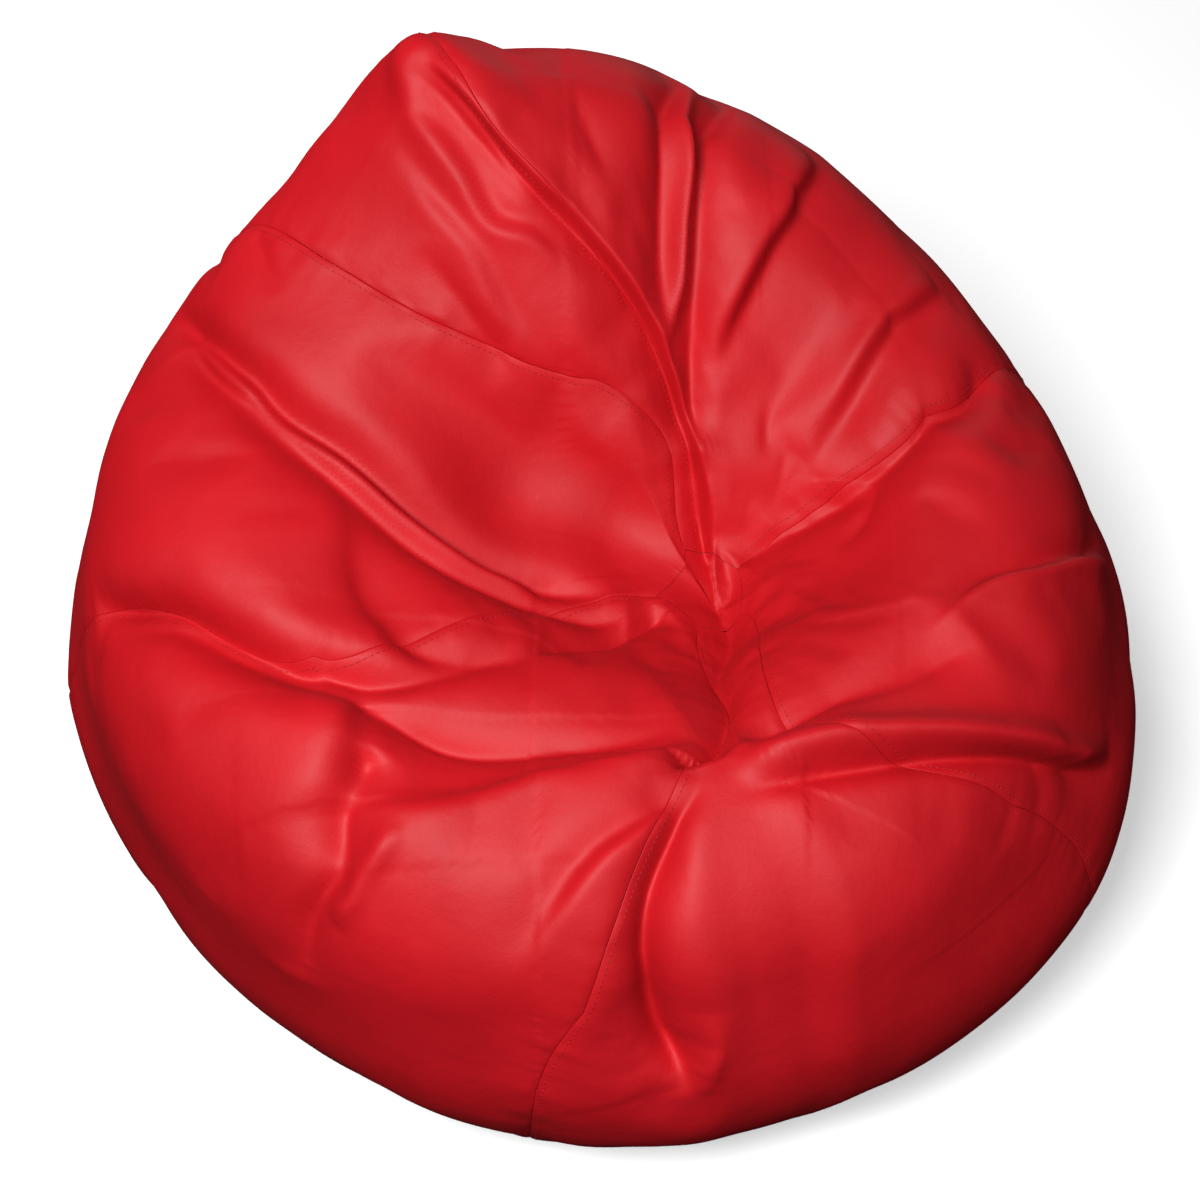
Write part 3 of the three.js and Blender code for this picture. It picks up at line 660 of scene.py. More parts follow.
@dataclass(frozen=True)
class ZipPlace:
    """Where the zip lies: its middle, the directions across, up and out of it, and half the slot's size."""

    middle: np.ndarray
    across: np.ndarray
    up: np.ndarray
    out: np.ndarray
    half_length: float
    slot_half_width: float = 9 * MM
    slot_spare: float = 8 * MM
    calm_width: float = 18 * MM
    calm_fade: float = 45 * MM

    @classmethod
    def from_frame(cls, record: dict) -> ZipPlace:
        """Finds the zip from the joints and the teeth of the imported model.

        Args:
            record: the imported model's record.

        Returns:
            The zip's place.
        """
        joints = {joint["name"]: joint for joint in record["behaviour"]["joints"]}
        up = -np.array(joints["zip_slide"]["axis"], dtype=float)
        across = -np.array(joints["pull_swing"]["axis"], dtype=float)
        low, high = (np.array(corner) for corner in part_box("zip_teeth_left"))
        half_length = (high[2] - low[2]) / 2 / up[2]
        return cls((low + high) / 2, across, up, np.cross(across, up), half_length)

    def place(self, points: np.ndarray) -> tuple[np.ndarray, np.ndarray]:
        """Returns the distances of points across and along the zip from its middle."""
        offset = points - self.middle
        return offset @ self.across, offset @ self.up

    def calm(self, points: np.ndarray) -> np.ndarray:
        """How much of the creasing is left at points: none beside the zip, all of it away from it.

        Args:
            points: rows of x, y and z.

        Returns:
            One share for each point.
        """
        across, along = self.place(points)
        beyond = np.maximum(np.abs(along) - self.half_length, 0)
        distance = np.hypot(across, beyond)
        return smooth_step((distance - self.calm_width) / self.calm_fade)


@dataclass(frozen=True)
class Settling:
    """How far the leatherette moves as it settles, kept on a grid of reaches by bearings."""

    reaches: np.ndarray
    columns: int
    moves: np.ndarray

    def at(self, bearing: np.ndarray, reach: np.ndarray) -> np.ndarray:
        """Reads the moves.

        Args:
            bearing: bearings in degrees.
            reach: reaches, as many.

        Returns:
            The move there, as rows of x, y and z.
        """
        last = len(self.reaches) - 1.001
        row = np.clip(np.interp(reach, self.reaches, np.arange(len(self.reaches))), 0, last)
        column = np.mod(bearing, FULL_TURN) / FULL_TURN * self.columns
        low_row, low_column = row.astype(int), column.astype(int) % self.columns
        next_column = (low_column + 1) % self.columns
        row_share = (row - low_row)[:, None]
        column_share = (column - np.floor(column))[:, None]
        moves = self.moves
        upper = moves[low_row, low_column] * (1 - column_share) + moves[low_row, next_column] * column_share
        low_row = low_row + 1
        lower = moves[low_row, low_column] * (1 - column_share) + moves[low_row, next_column] * column_share
        return upper * (1 - row_share) + lower * row_share


def blurred(grid: np.ndarray, width: float) -> np.ndarray:
    """Averages a grid of moves over a soft window.

    Args:
        grid: rows by columns of moves, where the last column joins the first.
        width: how many cells wide the window is.

    Returns:
        The averaged grid.
    """
    steps = np.arange(-int(3 * width), int(3 * width) + 1)
    weights = np.exp(-0.5 * (steps / width) ** 2)
    weights /= weights.sum()
    rows = np.arange(len(grid))
    last = len(grid) - 1
    down = sum(weight * grid[np.clip(rows + step, 0, last)] for step, weight in zip(steps, weights))
    return sum(weight * np.roll(down, step, axis=1) for step, weight in zip(steps, weights))


@dataclass(frozen=True)
class ClothPass:
    """A cloth simulation of the closed cover under the push of the beads, held in its creases."""

    columns: int = 260
    inner_rows: int = 46
    outer_rows: int = 84
    frames: int = 18
    quality: int = 5
    mass: float = 0.3
    pressure: float = 1.6
    growth: float = 0.014
    bending: float = 1.2
    stiffness: float = 15.0
    damping: float = 8.0
    air_damping: float = 2.0
    first_reach: float = 0.04
    held_depth: float = 2 * MM
    held_fade: float = 9 * MM
    base_held_from: float = 1.9
    hollow_held_to: float = 0.12
    hollow_fade: float = 0.06
    base_fade: float = 0.1
    most: float = 12 * MM
    soften: float = 0.9
    broad: float = 9.0
    broad_share: float = 0.8

    def hold(self, lift: np.ndarray, reach: np.ndarray) -> np.ndarray:
        """How firmly the cover is held: in the creases, in the middle of the hollow and at the base.

        Args:
            lift: how far the creased cover stands off the smooth form.
            reach: reaches, as many.

        Returns:
            One weight from 0 to 1 for each place.
        """
        hold = smooth_step((-lift - self.held_depth) / self.held_fade)
        hold = np.maximum(hold, smooth_step((reach - self.base_held_from) / self.base_fade))
        return np.maximum(hold, smooth_step((self.hollow_held_to - reach) / self.hollow_fade))

    def cloth(self, start: np.ndarray, ends: np.ndarray, hold: np.ndarray) -> bpy.types.Object:
        """Makes the piece of cloth, closed in the hollow and under the base, with its simulation.

        Args:
            start: the creased cover's points, row after row.
            ends: the middle of the hollow and the middle of the floor.
            hold: how firmly each point is held.

        Returns:
            The cloth.
        """
        rows = len(start) // self.columns
        faces = grid_faces(rows, self.columns, closed=True) + closing_faces(rows, self.columns, self.columns)
        plain = bpy.data.materials.new("settling")
        cloth = make_piece("settling_cloth", np.concatenate([start, ends]), faces, plain)
        pins = cloth.vertex_groups.new(name="held")
        for index, weight in enumerate(hold):
            pins.add([index], float(weight), "REPLACE")
        pins.add([len(start), len(start) + 1], 1.0, "REPLACE")
        modifier = cloth.modifiers.new("cloth", "CLOTH")
        settings = modifier.settings
        settings.quality = self.quality
        settings.mass = self.mass
        settings.tension_stiffness = self.stiffness
        settings.compression_stiffness = self.stiffness
        settings.shear_stiffness = self.stiffness / 2
        settings.bending_stiffness = self.bending
        settings.tension_damping = self.damping
        settings.compression_damping = self.damping
        settings.shear_damping = self.damping
        settings.air_damping = self.air_damping
        settings.use_pressure = True
        settings.uniform_pressure_force = self.pressure
        settings.shrink_min = -self.growth
        settings.vertex_group_mass = pins.name
        settings.effector_weights.gravity = 0
        modifier.collision_settings.use_collision = False
        modifier.point_cache.frame_start = 1
        modifier.point_cache.frame_end = self.frames
        return cloth

    def played(self, cloth: bpy.types.Object) -> np.ndarray:
        """Plays the simulation and clears the cloth away.

        Args:
            cloth: the cloth.

        Returns:
            Where its points end, as rows of x, y and z.
        """
        scene = bpy.context.scene
        for frame in range(1, self.frames + 1):
            scene.frame_set(frame)
        evaluated = cloth.evaluated_get(bpy.context.evaluated_depsgraph_get())
        ends = np.empty(len(evaluated.data.vertices) * 3)
        evaluated.data.vertices.foreach_get("co", ends)
        scene.frame_set(1)
        plain = cloth.data.materials[0]
        bpy.data.objects.remove(cloth)
        bpy.data.materials.remove(plain)
        return ends.reshape(-1, 3)

    def run(self, shape: CoverShape) -> Settling:
        """Lets the cover settle.

        Args:
            shape: the creased cover before it settles.

        Returns:
            How far each place of the cover moves.
        """
        inner = np.linspace(self.first_reach, CREST, self.inner_rows)
        reaches = np.concatenate([inner, np.linspace(CREST, BASE_EDGE, self.outer_rows)[1:]])
        bearing = np.arange(self.columns) * FULL_TURN / self.columns
        grid_reach, grid_bearing = np.meshgrid(reaches, bearing, indexing="ij")
        grid_reach, grid_bearing = grid_reach.ravel(), grid_bearing.ravel()
        start = shape.points(grid_bearing, grid_reach)
        hold = self.hold(shape.lift(grid_bearing, grid_reach), grid_reach)
        middles = np.concatenate([shape.middle(), np.zeros((1, 3))])
        ends = self.played(self.cloth(start, middles, hold))
        moves = ends[: len(start)] - start
        far = np.linalg.norm(moves, axis=1, keepdims=True)
        LOG.info("settling moves %.1f mm on average, %.1f mm at most", far.mean() / MM, far.max() / MM)
        moves *= np.minimum(1, self.most / np.maximum(far, TINY))
        grid = moves.reshape(len(reaches), self.columns, 3)
        grid = blurred(grid, self.soften) - self.broad_share * blurred(grid, self.broad)
        keep = shape.calm(start, grid_reach) * smooth_step((BASE_EDGE - grid_reach) / self.base_fade)
        return Settling(reaches, self.columns, grid * keep.reshape(len(reaches), self.columns, 1))


@dataclass
class CoverShape:
    """The creased outside of the cover: the smooth form moved along its outward directions."""

    form: BagForm
    zip: ZipPlace
    seam_depth: float = 1.7 * MM
    seam_width: float = 4 * MM
    pucker_height: float = 2.2 * MM
    pucker_width: float = 20 * MM
    pucker_pitch: float = 26 * MM
    pucker_start: float = 6 * MM
    pucker_offbeat: float = 3.7
    finer_pucker: float = 2.3
    finer_share: float = 0.5
    seam_start: float = 0.14
    seam_past_crest: float = 1.02
    seam_samples: int = 60
    full_height: float = 220 * MM
    floor_share: float = 0.35
    wave_height: float = 2.2 * MM
    wave_length: float = 85 * MM
    base_fade: float = 0.12
    settling: Settling | None = None

    def calm(self, points: np.ndarray, reach: np.ndarray) -> np.ndarray:
        """Returns how much creasing is left at points: none beside the zip."""
        return np.where(reach > CREST, self.zip.calm(points), 1.0)

    def seam_lift(self, seam: Seam, points: np.ndarray, normals: np.ndarray) -> np.ndarray:
        """The groove and the puckers along one seam, shallower near the floor.

        Args:
            seam: the seam.
            points: points on the smooth form.
            normals: its outward directions there.

        Returns:
            One distance for each point, outwards positive.
        """
        inner = np.linspace(self.seam_start, CREST, self.seam_samples)
        reach = np.concatenate([inner, np.linspace(self.seam_past_crest, BASE_EDGE, self.seam_samples)])
        bearing = seam.bearing(reach)
        line = self.form.points(bearing, reach)
        line_normals = self.form.normals(bearing, reach)
        found = nearest_on_line(line, line_normals, points, normals, 4 * self.pucker_width)
        run = np.concatenate([[0], np.cumsum(np.linalg.norm(np.diff(line, axis=0), axis=1))])
        along = np.interp(found.step, np.arange(len(run)), run) / self.pucker_pitch
        offbeat = self.pucker_offbeat * SEAMS.index(seam)
        waves = np.array([noise.noise(Vector((place, offbeat, 0.0))) for place in along])
        finer = [noise.noise(Vector((self.finer_pucker * place, offbeat, 5.0))) for place in along]
        waves += self.finer_share * np.array(finer)
        away = smooth_step(found.distance / self.pucker_start)
        pucker = self.pucker_height * waves * np.exp(-found.distance / self.pucker_width) * away
        groove = -self.seam_depth * np.exp(-found.distance / self.seam_width)
        high = smooth_step(points[found.chosen, 2] / self.full_height)
        depth = self.floor_share + (1 - self.floor_share) * high
        lift = np.zeros(len(points))
        alike = smooth_step((found.facing - FACING_FROM) / FACING_FADE)
        lift[found.chosen] = (pucker + groove) * depth * alike
        return lift

    def lift(self, bearing: np.ndarray, reach: np.ndarray, seams: bool = True) -> np.ndarray:
        """How far the creased cover stands off the smooth form.

        Args:
            bearing: bearings in degrees.
            reach: reaches, as many.
            seams: whether the seams' grooves and puckers show.

        Returns:
            One distance for each place, outwards positive.
        """
        points = self.form.points(bearing, reach)
        normals = self.form.normals(bearing, reach)
        total = np.zeros(len(points))
        for crease in CREASES:
            total += crease.lift(self.form, points, normals)
        for hollow in HOLLOWS:
            total += hollow.lift(self.form, points)
        if seams:
            for seam in SEAMS:
                total += self.seam_lift(seam, points, normals)
        places = points / self.wave_length
        waves = np.array([noise.noise(Vector(place), noise_basis="PERLIN_NEW") for place in places])
        total += self.wave_height * waves
        flat = smooth_step((BASE_EDGE - reach) / self.base_fade)
        return total * flat * self.calm(points, reach)

    def points(self, bearing: np.ndarray, reach: np.ndarray, inside: float | np.ndarray = 0.0,
               seams: bool = True) -> np.ndarray:
        """Points of the creased cover, or of a layer inside it.

        Args:
            bearing: bearings in degrees.
            reach: reaches, as many.
            inside: how far inside the cover's outside the layer lies.
            seams: whether the seams' grooves and puckers show in it.

        Returns:
            One row of x, y and z for each place.
        """
        bearing, reach = (np.asarray(value, float).ravel() for value in np.broadcast_arrays(bearing, reach))
        rise = self.lift(bearing, reach, seams) - inside
        result = self.form.points(bearing, reach) + self.form.normals(bearing, reach) * rise[:, None]
        if self.settling is not None:
            result += self.settling.at(bearing, reach)
        return result

    def middle(self, inside: float = 0.0, seams: bool = True) -> np.ndarray:
        """Returns the point in the middle of the seat hollow, as one row."""
        return self.points(np.array([0.0]), np.array([CAP_MIDDLE]), inside, seams)


# ---------------------------------------------------------------- making pieces
def grid_faces(rows: int, columns: int, closed: bool = False) -> list[tuple[int, int, int, int]]:
    """Faces of a grid of vertices, row after row, facing out of the bag.

    Args:
        rows: how many rows of vertices.
        columns: how many vertices in a row.
        closed: whether the last column joins the first.

    Returns:
        Four vertex indices for each face.
    """
    faces = []
    last = columns if closed else columns - 1
    for row in range(rows - 1):
        for column in range(last):
            a = row * columns + column
            b = row * columns + (column + 1) % columns
            faces.append((a, a + columns, b + columns, b))
    return faces


def fan_faces(ring: int, middle: int, count: int) -> list[tuple[int, int, int]]:
    """Faces that join a ring of vertices to one in its middle.

    Args:
        ring: the index of the ring's first vertex.
        middle: the index of the vertex in the middle.
        count: how many vertices the ring has.

    Returns:
        Three vertex indices for each face.
    """
    return [(middle, ring + i, ring + (i + 1) % count) for i in range(count)]


def closing_faces(rows: int, columns: int, count: int) -> list[tuple[int, int, int]]:
    """Faces that close a layer in the hollow and under the base, with two middle points after its grid.

    Args:
        rows: how many rows the grid has.
        columns: how many vertices in a row.
        count: how many faces round the layer.

    Returns:
        Three vertex indices for each face.
    """
    top, last = rows * columns, (rows - 1) * columns
    faces = []
    for i in range(count):
        after = (i + 1) % columns
        faces += [(top, i, after), (top + 1, last + after, last + i)]
    return faces


def make_piece(
    name: str, points: np.ndarray, faces: Sequence, finish: bpy.types.Material
) -> bpy.types.Object:
    """Makes one mesh object in the scene, shaded smooth.

    Args:
        name: the piece's name.
        points: its vertices.
        faces: its faces, as vertex indices.
        finish: its material.

    Returns:
        The object.
    """
    mesh = bpy.data.meshes.new(name)
    mesh.from_pydata([tuple(point) for point in points], [], [tuple(face) for face in faces])
    mesh.validate()
    mesh.polygons.foreach_set("use_smooth", [True] * len(mesh.polygons))
    mesh.materials.append(finish)
    piece = bpy.data.objects.new(name, mesh)
    bpy.context.scene.collection.objects.link(piece)
    LOG.info("%s: %d vertices", name, len(mesh.vertices))
    return piece


# ---------------------------------------------------------------- finishes
class NodeTree:
    """A material's nodes, with short ways to add and join them."""

    def __init__(self, name: str) -> None:
        """Starts an empty material with one principled shader.

        Args:
            name: the material's name.
        """
        self.material = bpy.data.materials.new(name)
        self.material.use_nodes = True
        self.tree = self.material.node_tree
        self.shader = self.tree.nodes["Principled BSDF"]
        self.place = self.add("ShaderNodeTexCoord").outputs["Object"]

    def add(self, kind: str, **settings: object) -> bpy.types.Node:
        """Adds a node.

        Args:
            kind: Blender's name for it.
            settings: its properties, or its inputs' values where it has no such property.

        Returns:
            The node.
        """
        node = self.tree.nodes.new(kind)
        for key, value in settings.items():
            if hasattr(node, key):
                setattr(node, key, value)
            else:
                node.inputs[key.replace("_", " ").title()].default_value = value
        return node

    def join(self, source: bpy.types.NodeSocket, target: bpy.types.NodeSocket) -> None:
        """Links the source socket to the target socket."""
        self.tree.links.new(source, target)

    def set(self, **values: object) -> None:
        """Sets values on the shader's own sockets.

        Args:
            values: the sockets' values, each under its name in lower case with underscores.
        """
        names = {socket.name.lower().replace(" ", "_"): socket for socket in self.shader.inputs}
        for key, value in values.items():
            names[key].default_value = value

    def noise(self, scale: float, detail: float = 2.0, roughness: float = 0.5) -> bpy.types.NodeSocket:
        """A noise pattern over the object's place.

        Args:
            scale: how many of its cells go in a metre.
            detail: how many finer layers it has.
            roughness: how strong they are.

        Returns:
            The pattern's strength.
        """
        node = self.add("ShaderNodeTexNoise", scale=scale, detail=detail, roughness=roughness)
        self.join(self.place, node.inputs["Vector"])
        return node.outputs["Fac"]

    def ramp(
        self, source: bpy.types.NodeSocket, stops: Sequence[tuple[float, tuple[float, ...]]]
    ) -> bpy.types.NodeSocket:
        """A colour ramp over a value.

        Args:
            source: the value.
            stops: places from 0 to 1 with their colours.

        Returns:
            The colour.
        """
        node = self.add("ShaderNodeValToRGB")
        self.join(source, node.inputs["Fac"])
        elements = node.color_ramp.elements
        while len(elements) < len(stops):
            elements.new(0.5)
        for element, (position, colour) in zip(elements, stops):
            element.position = position
            element.color = (*colour, 1)
        return node.outputs["Color"]

    def bump(self, height: bpy.types.NodeSocket, distance: float, strength: float,
             under: bpy.types.NodeSocket | None = None) -> bpy.types.NodeSocket:
        """A bump in the surface.

        Args:
            height: the pattern of its heights.
            distance: the height of a full bump in metres.
            strength: how strongly it shows.
            under: another bump that it lies on.

        Returns:
            The surface's direction.
        """
        node = self.add("ShaderNodeBump", distance=distance, strength=strength)
        self.join(height, node.inputs["Height"])
        if under is not None:
            self.join(under, node.inputs["Normal"])
        return node.outputs["Normal"]


@dataclass(frozen=True)
class Leatherette:
    """Satin coated cloth with a fine pebbled grain and soft wrinkles."""

    light: tuple[float, float, float] = (0.62, 0.0045, 0.0120)
    dark: tuple[float, float, float] = (0.52, 0.0025, 0.0080)
    roughness: float = 0.6
    specular: float = 0.42
    mottle: float = 7.0
    wrinkle: float = 26.0
    wrinkle_height: float = 3 * MM
    crinkle: float = 140.0
    crinkle_height: float = 0.5 * MM
    grain: float = 620.0
    grain_height: float = 0.12 * MM

    def build(self, name: str) -> bpy.types.Material:
        """Builds the material.

        Args:
            name: its name.

        Returns:
            The material.
        """
        nodes = NodeTree(name)
        nodes.set(roughness=self.roughness, specular_ior_level=self.specular)
        mottle = nodes.noise(self.mottle, 4.0, 0.6)
        colour = nodes.ramp(mottle, ((0.3, self.dark), (0.7, self.light)))
        nodes.join(colour, nodes.shader.inputs["Base Color"])
        pebbles = nodes.add("ShaderNodeTexVoronoi", scale=self.grain, feature="SMOOTH_F1")
        nodes.join(nodes.place, pebbles.inputs["Vector"])
        soft = nodes.bump(nodes.noise(self.wrinkle, 5.0, 0.55), self.wrinkle_height, 0.35)
        fine = nodes.bump(nodes.noise(self.crinkle, 3.0, 0.6), self.crinkle_height, 0.25, soft)
        grain = nodes.bump(pebbles.outputs["Distance"], self.grain_height, 0.5, fine)
        nodes.join(grain, nodes.shader.inputs["Normal"])
        return nodes.material


@dataclass(frozen=True)
class PlainFinish:
    """A finish of one colour with a mottle and a fine bump, for thread, beads or moulded plastic."""

    colour: tuple[float, float, float]
    roughness: float
    grain: float = 400.0
    grain_height: float = 0.1 * MM
    variation: float = 0.12

    def build(self, name: str) -> bpy.types.Material:
        """Builds the material.

        Args:
            name: its name.

        Returns:
            The material.
        """
        nodes = NodeTree(name)
        nodes.set(roughness=self.roughness)
        low = tuple(channel * (1 - self.variation) for channel in self.colour)
        high = tuple(min(1.0, channel * (1 + self.variation)) for channel in self.colour)
        colour = nodes.ramp(nodes.noise(self.grain / 12, 3.0), ((0.3, low), (0.7, high)))
        nodes.join(colour, nodes.shader.inputs["Base Color"])
        bump = nodes.bump(nodes.noise(self.grain, 2.0), self.grain_height, 0.6)
        nodes.join(bump, nodes.shader.inputs["Normal"])
        return nodes.material


@dataclass(frozen=True)
class WovenFinish:
    """Woven cloth or tape: two sets of threads that cross, with a soft sheen."""

    colour: tuple[float, float, float]
    pitch: float
    roughness: float = 0.85
    sheen: float = 0.2
    height: float = 0.12 * MM
    turn: float = 0.4
    shade: float = 0.82

    def build(self, name: str) -> bpy.types.Material:
        """Builds the material.

        Args:
            name: its name.

        Returns:
            The material.
        """
        nodes = NodeTree(name)
        nodes.set(roughness=self.roughness, sheen_weight=self.sheen)
        low = tuple(channel * self.shade for channel in self.colour)
        colour = nodes.ramp(nodes.noise(0.05 / self.pitch, 3.0), ((0.3, low), (0.7, self.colour)))
        nodes.join(colour, nodes.shader.inputs["Base Color"])
        bump = None
        for side in (1, -1):
            mapping = nodes.add("ShaderNodeMapping")
            mapping.inputs["Rotation"].default_value = (self.turn, side * math.pi / 4, side * math.pi / 4)
            nodes.join(nodes.place, mapping.inputs["Vector"])
            threads = nodes.add("ShaderNodeTexWave", scale=0.1 / self.pitch, distortion=0.6)
            nodes.join(mapping.outputs["Vector"], threads.inputs["Vector"])
            bump = nodes.bump(threads.outputs["Fac"], self.height, 0.5, bump)
        nodes.join(bump, nodes.shader.inputs["Normal"])
        return nodes.material


@dataclass(frozen=True)
class MetalFinish:
    """Plated metal with fine scratches and cloudy patches where fingers wear it."""

    colour: tuple[float, float, float] = (0.72, 0.7, 0.67)
    roughness: float = 0.28
    metallic: float = 0.75
    worn_share: float = 0.8
    worn_roughness: float = 0.2
    clouds: float = 90.0
    patches: float = 140.0
    scratches: float = 900.0
    scratch_depth: float = 0.05 * MM

    def build(self, name: str) -> bpy.types.Material:
        """Builds the material.

        Args:
            name: its name.

        Returns:
            The material.
        """
        nodes = NodeTree(name)
        nodes.set(metallic=self.metallic)
        worn = tuple(channel * self.worn_share for channel in self.colour)
        colour = nodes.ramp(nodes.noise(self.clouds, 3.0), ((0.35, worn), (0.65, self.colour)))
        nodes.join(colour, nodes.shader.inputs["Base Color"])
        low, high = self.roughness, self.roughness + self.worn_roughness
        stops = ((0.3, (low, low, low)), (0.7, (high, high, high)))
        patches = nodes.ramp(nodes.noise(self.patches, 4.0), stops)
        nodes.join(patches, nodes.shader.inputs["Roughness"])
        mapping = nodes.add("ShaderNodeMapping")
        mapping.inputs["Scale"].default_value = (1.0, 1.0, 0.08)
        nodes.join(nodes.place, mapping.inputs["Vector"])
        lines = nodes.add("ShaderNodeTexNoise", scale=self.scratches, detail=2.0)
        nodes.join(mapping.outputs["Vector"], lines.inputs["Vector"])
        scratched = nodes.bump(lines.outputs["Fac"], self.scratch_depth, 0.4)
        nodes.join(scratched, nodes.shader.inputs["Normal"])
        return nodes.material


# ---------------------------------------------------------------- the cover
@dataclass
class Cover:
    """The sewn cover: six gores, the hexagonal top cap and the round base."""

    shape: CoverShape
    finish: Leatherette = field(default_factory=Leatherette)
    cap_share: float = 0.13
    inner_rows: int = 96
    crest_rows: int = 48
    wall_rows: int = 36
    belly_rows: int = 62
    column_pitch: float = 4.2 * MM
    seam_steps: tuple[float, ...] = (0.0, 0.8 * MM, 2 * MM, 4 * MM, 7 * MM, 11 * MM)
    seam_gap: float = 0.4 * MM
    turned_in: tuple[float, ...] = (9 * MM, 4 * MM)
    zip_hem: float = 1.6 * MM
    slot_fade: float = 6 * MM
    slot_from: float = 1.05
    width_samples: int = 24
    cap_rings: int = 14
    cap_columns: int = 12
    cap_first_ring: float = 0.06
    cap_inset: float = 0.992
    base_columns: int = 180
    base_rings: tuple[float, ...] = (1.0, 0.985, 0.8, 0.5, 0.2)
    base_inset: float = 2 * MM
    base_lift: float = 0.2 * MM

    def reaches(self) -> np.ndarray:
        """Spaces the rows outside the crest.

        Returns:
            Their reaches.
        """
        crest = np.linspace(CREST, WALL_START, self.crest_rows, endpoint=False)
        wall = np.linspace(WALL_START, WALL_END, self.wall_rows, endpoint=False)
        belly = np.linspace(WALL_END, BASE_EDGE, self.belly_rows)
        return np.concatenate([crest, wall, belly])

    def cap_edge(self, gore: int, share: np.ndarray) -> np.ndarray:
        """The cap's straight edge along a gore.

        Args:
            gore: the gore's number.
            share: shares of the way across it.

        Returns:
            The edge's reach at each share.
        """
        before, after = self.edges(gore, np.array([self.cap_share]))
        half = math.radians((after[0] - before[0]) / 2)
        return self.cap_share * math.cos(half) / np.cos(half * (2 * share - 1))

    def edges(self, gore: int, reach: np.ndarray) -> tuple[np.ndarray, np.ndarray]:
        """The two edges of a gore, which stand apart at the zip.

        Args:
            gore: the gore's number.
            reach: reaches.

        Returns:
            Bearings of the edge before it and of the edge after it.
        """
        before_seam = SEAMS[gore]
        after_seam = SEAMS[(gore + 1) % len(SEAMS)]
        before, after = before_seam.bearing(reach), after_seam.bearing(reach)
        if gore + 1 == len(SEAMS):
            after = after + FULL_TURN
        if Seam.BACK in (before_seam, after_seam):
            line = self.shape.form.points(Seam.BACK.bearing(reach), reach)
            apart = np.degrees(self.slot(reach) / np.hypot(line[:, 0], line[:, 1]))
            if before_seam is Seam.BACK:
                before = before + apart
            else:
                after = after - apart
        return before, after

    def slot(self, reach: np.ndarray) -> np.ndarray:
        """How far the back seam's edges stand apart from its middle: open only at the zip.

        Args:
            reach: reaches.

        Returns:
            A distance for each reach.
        """
        place = self.shape.zip
        bearing = Seam.BACK.bearing(reach)
        _, along = place.place(self.shape.form.points(bearing, reach))
        end = place.half_length + place.slot_spare
        share = smooth_step((end - np.abs(along)) / self.slot_fade)
        return np.where(reach > self.slot_from, share, 0.0) * place.slot_half_width

    def width(self, gore: int, edge_reach: float, reach: float) -> float:
        """How wide a gore is.

        Args:
            gore: the gore's number.
            edge_reach: the reach where its edges' bearings are read.
            reach: the reach where the width is measured.

        Returns:
            The width on the smooth form.
        """
        before, after = self.edges(gore, np.array([edge_reach]))
        across = np.linspace(before[0], after[0], self.width_samples)
        line = self.shape.form.points(across, np.full(self.width_samples, reach))
        return np.linalg.norm(np.diff(line, axis=0), axis=1).sum()

    def shares(self, gore: int, columns: int, reach: float) -> np.ndarray:
        """Spaces a gore's columns at one reach, close together beside the seams.

        Args:
            gore: the gore's number.
            columns: how many columns it has.
            reach: the reach.

        Returns:
            Shares of the way across the gore.
        """
        width = self.width(gore, reach, reach)
        steps = np.array(self.seam_steps) / width
        steps = np.minimum(steps, np.linspace(0, 0.5 * len(steps) / columns, len(steps)))
        inner = np.linspace(steps[-1], 1 - steps[-1], columns - 2 * (len(steps) - 1))
        return np.concatenate([steps[:-1], inner, 1 - steps[:-1][::-1]])

    def gore_grid(self, gore: int) -> tuple[np.ndarray, np.ndarray]:
        """Lays out a gore's grid.

        Args:
            gore: the gore's number.

        Returns:
            Bearings and reaches, as arrays of rows by columns.
        """
        columns = int(self.width(gore, 1.5, WALL_END) / self.column_pitch) + 2 * (len(self.seam_steps) - 1)
        bearings, reaches = [], []
        for step in np.linspace(0, 1, self.inner_rows, endpoint=False):
            level = mix(self.cap_share, CREST, step)
            share = self.shares(gore, columns, level)
            reach = self.cap_edge(gore, share) * (1 - step) + step
            low, high = self.edges(gore, reach)
            bearings.append(low + (high - low) * share)
            reaches.append(reach)
        for reach in self.reaches():
            share = self.shares(gore, columns, reach)
            low, high = self.edges(gore, np.full(columns, reach))
            bearings.append(low + (high - low) * share)
            reaches.append(np.full(columns, reach))
        return np.array(bearings), np.array(reaches)

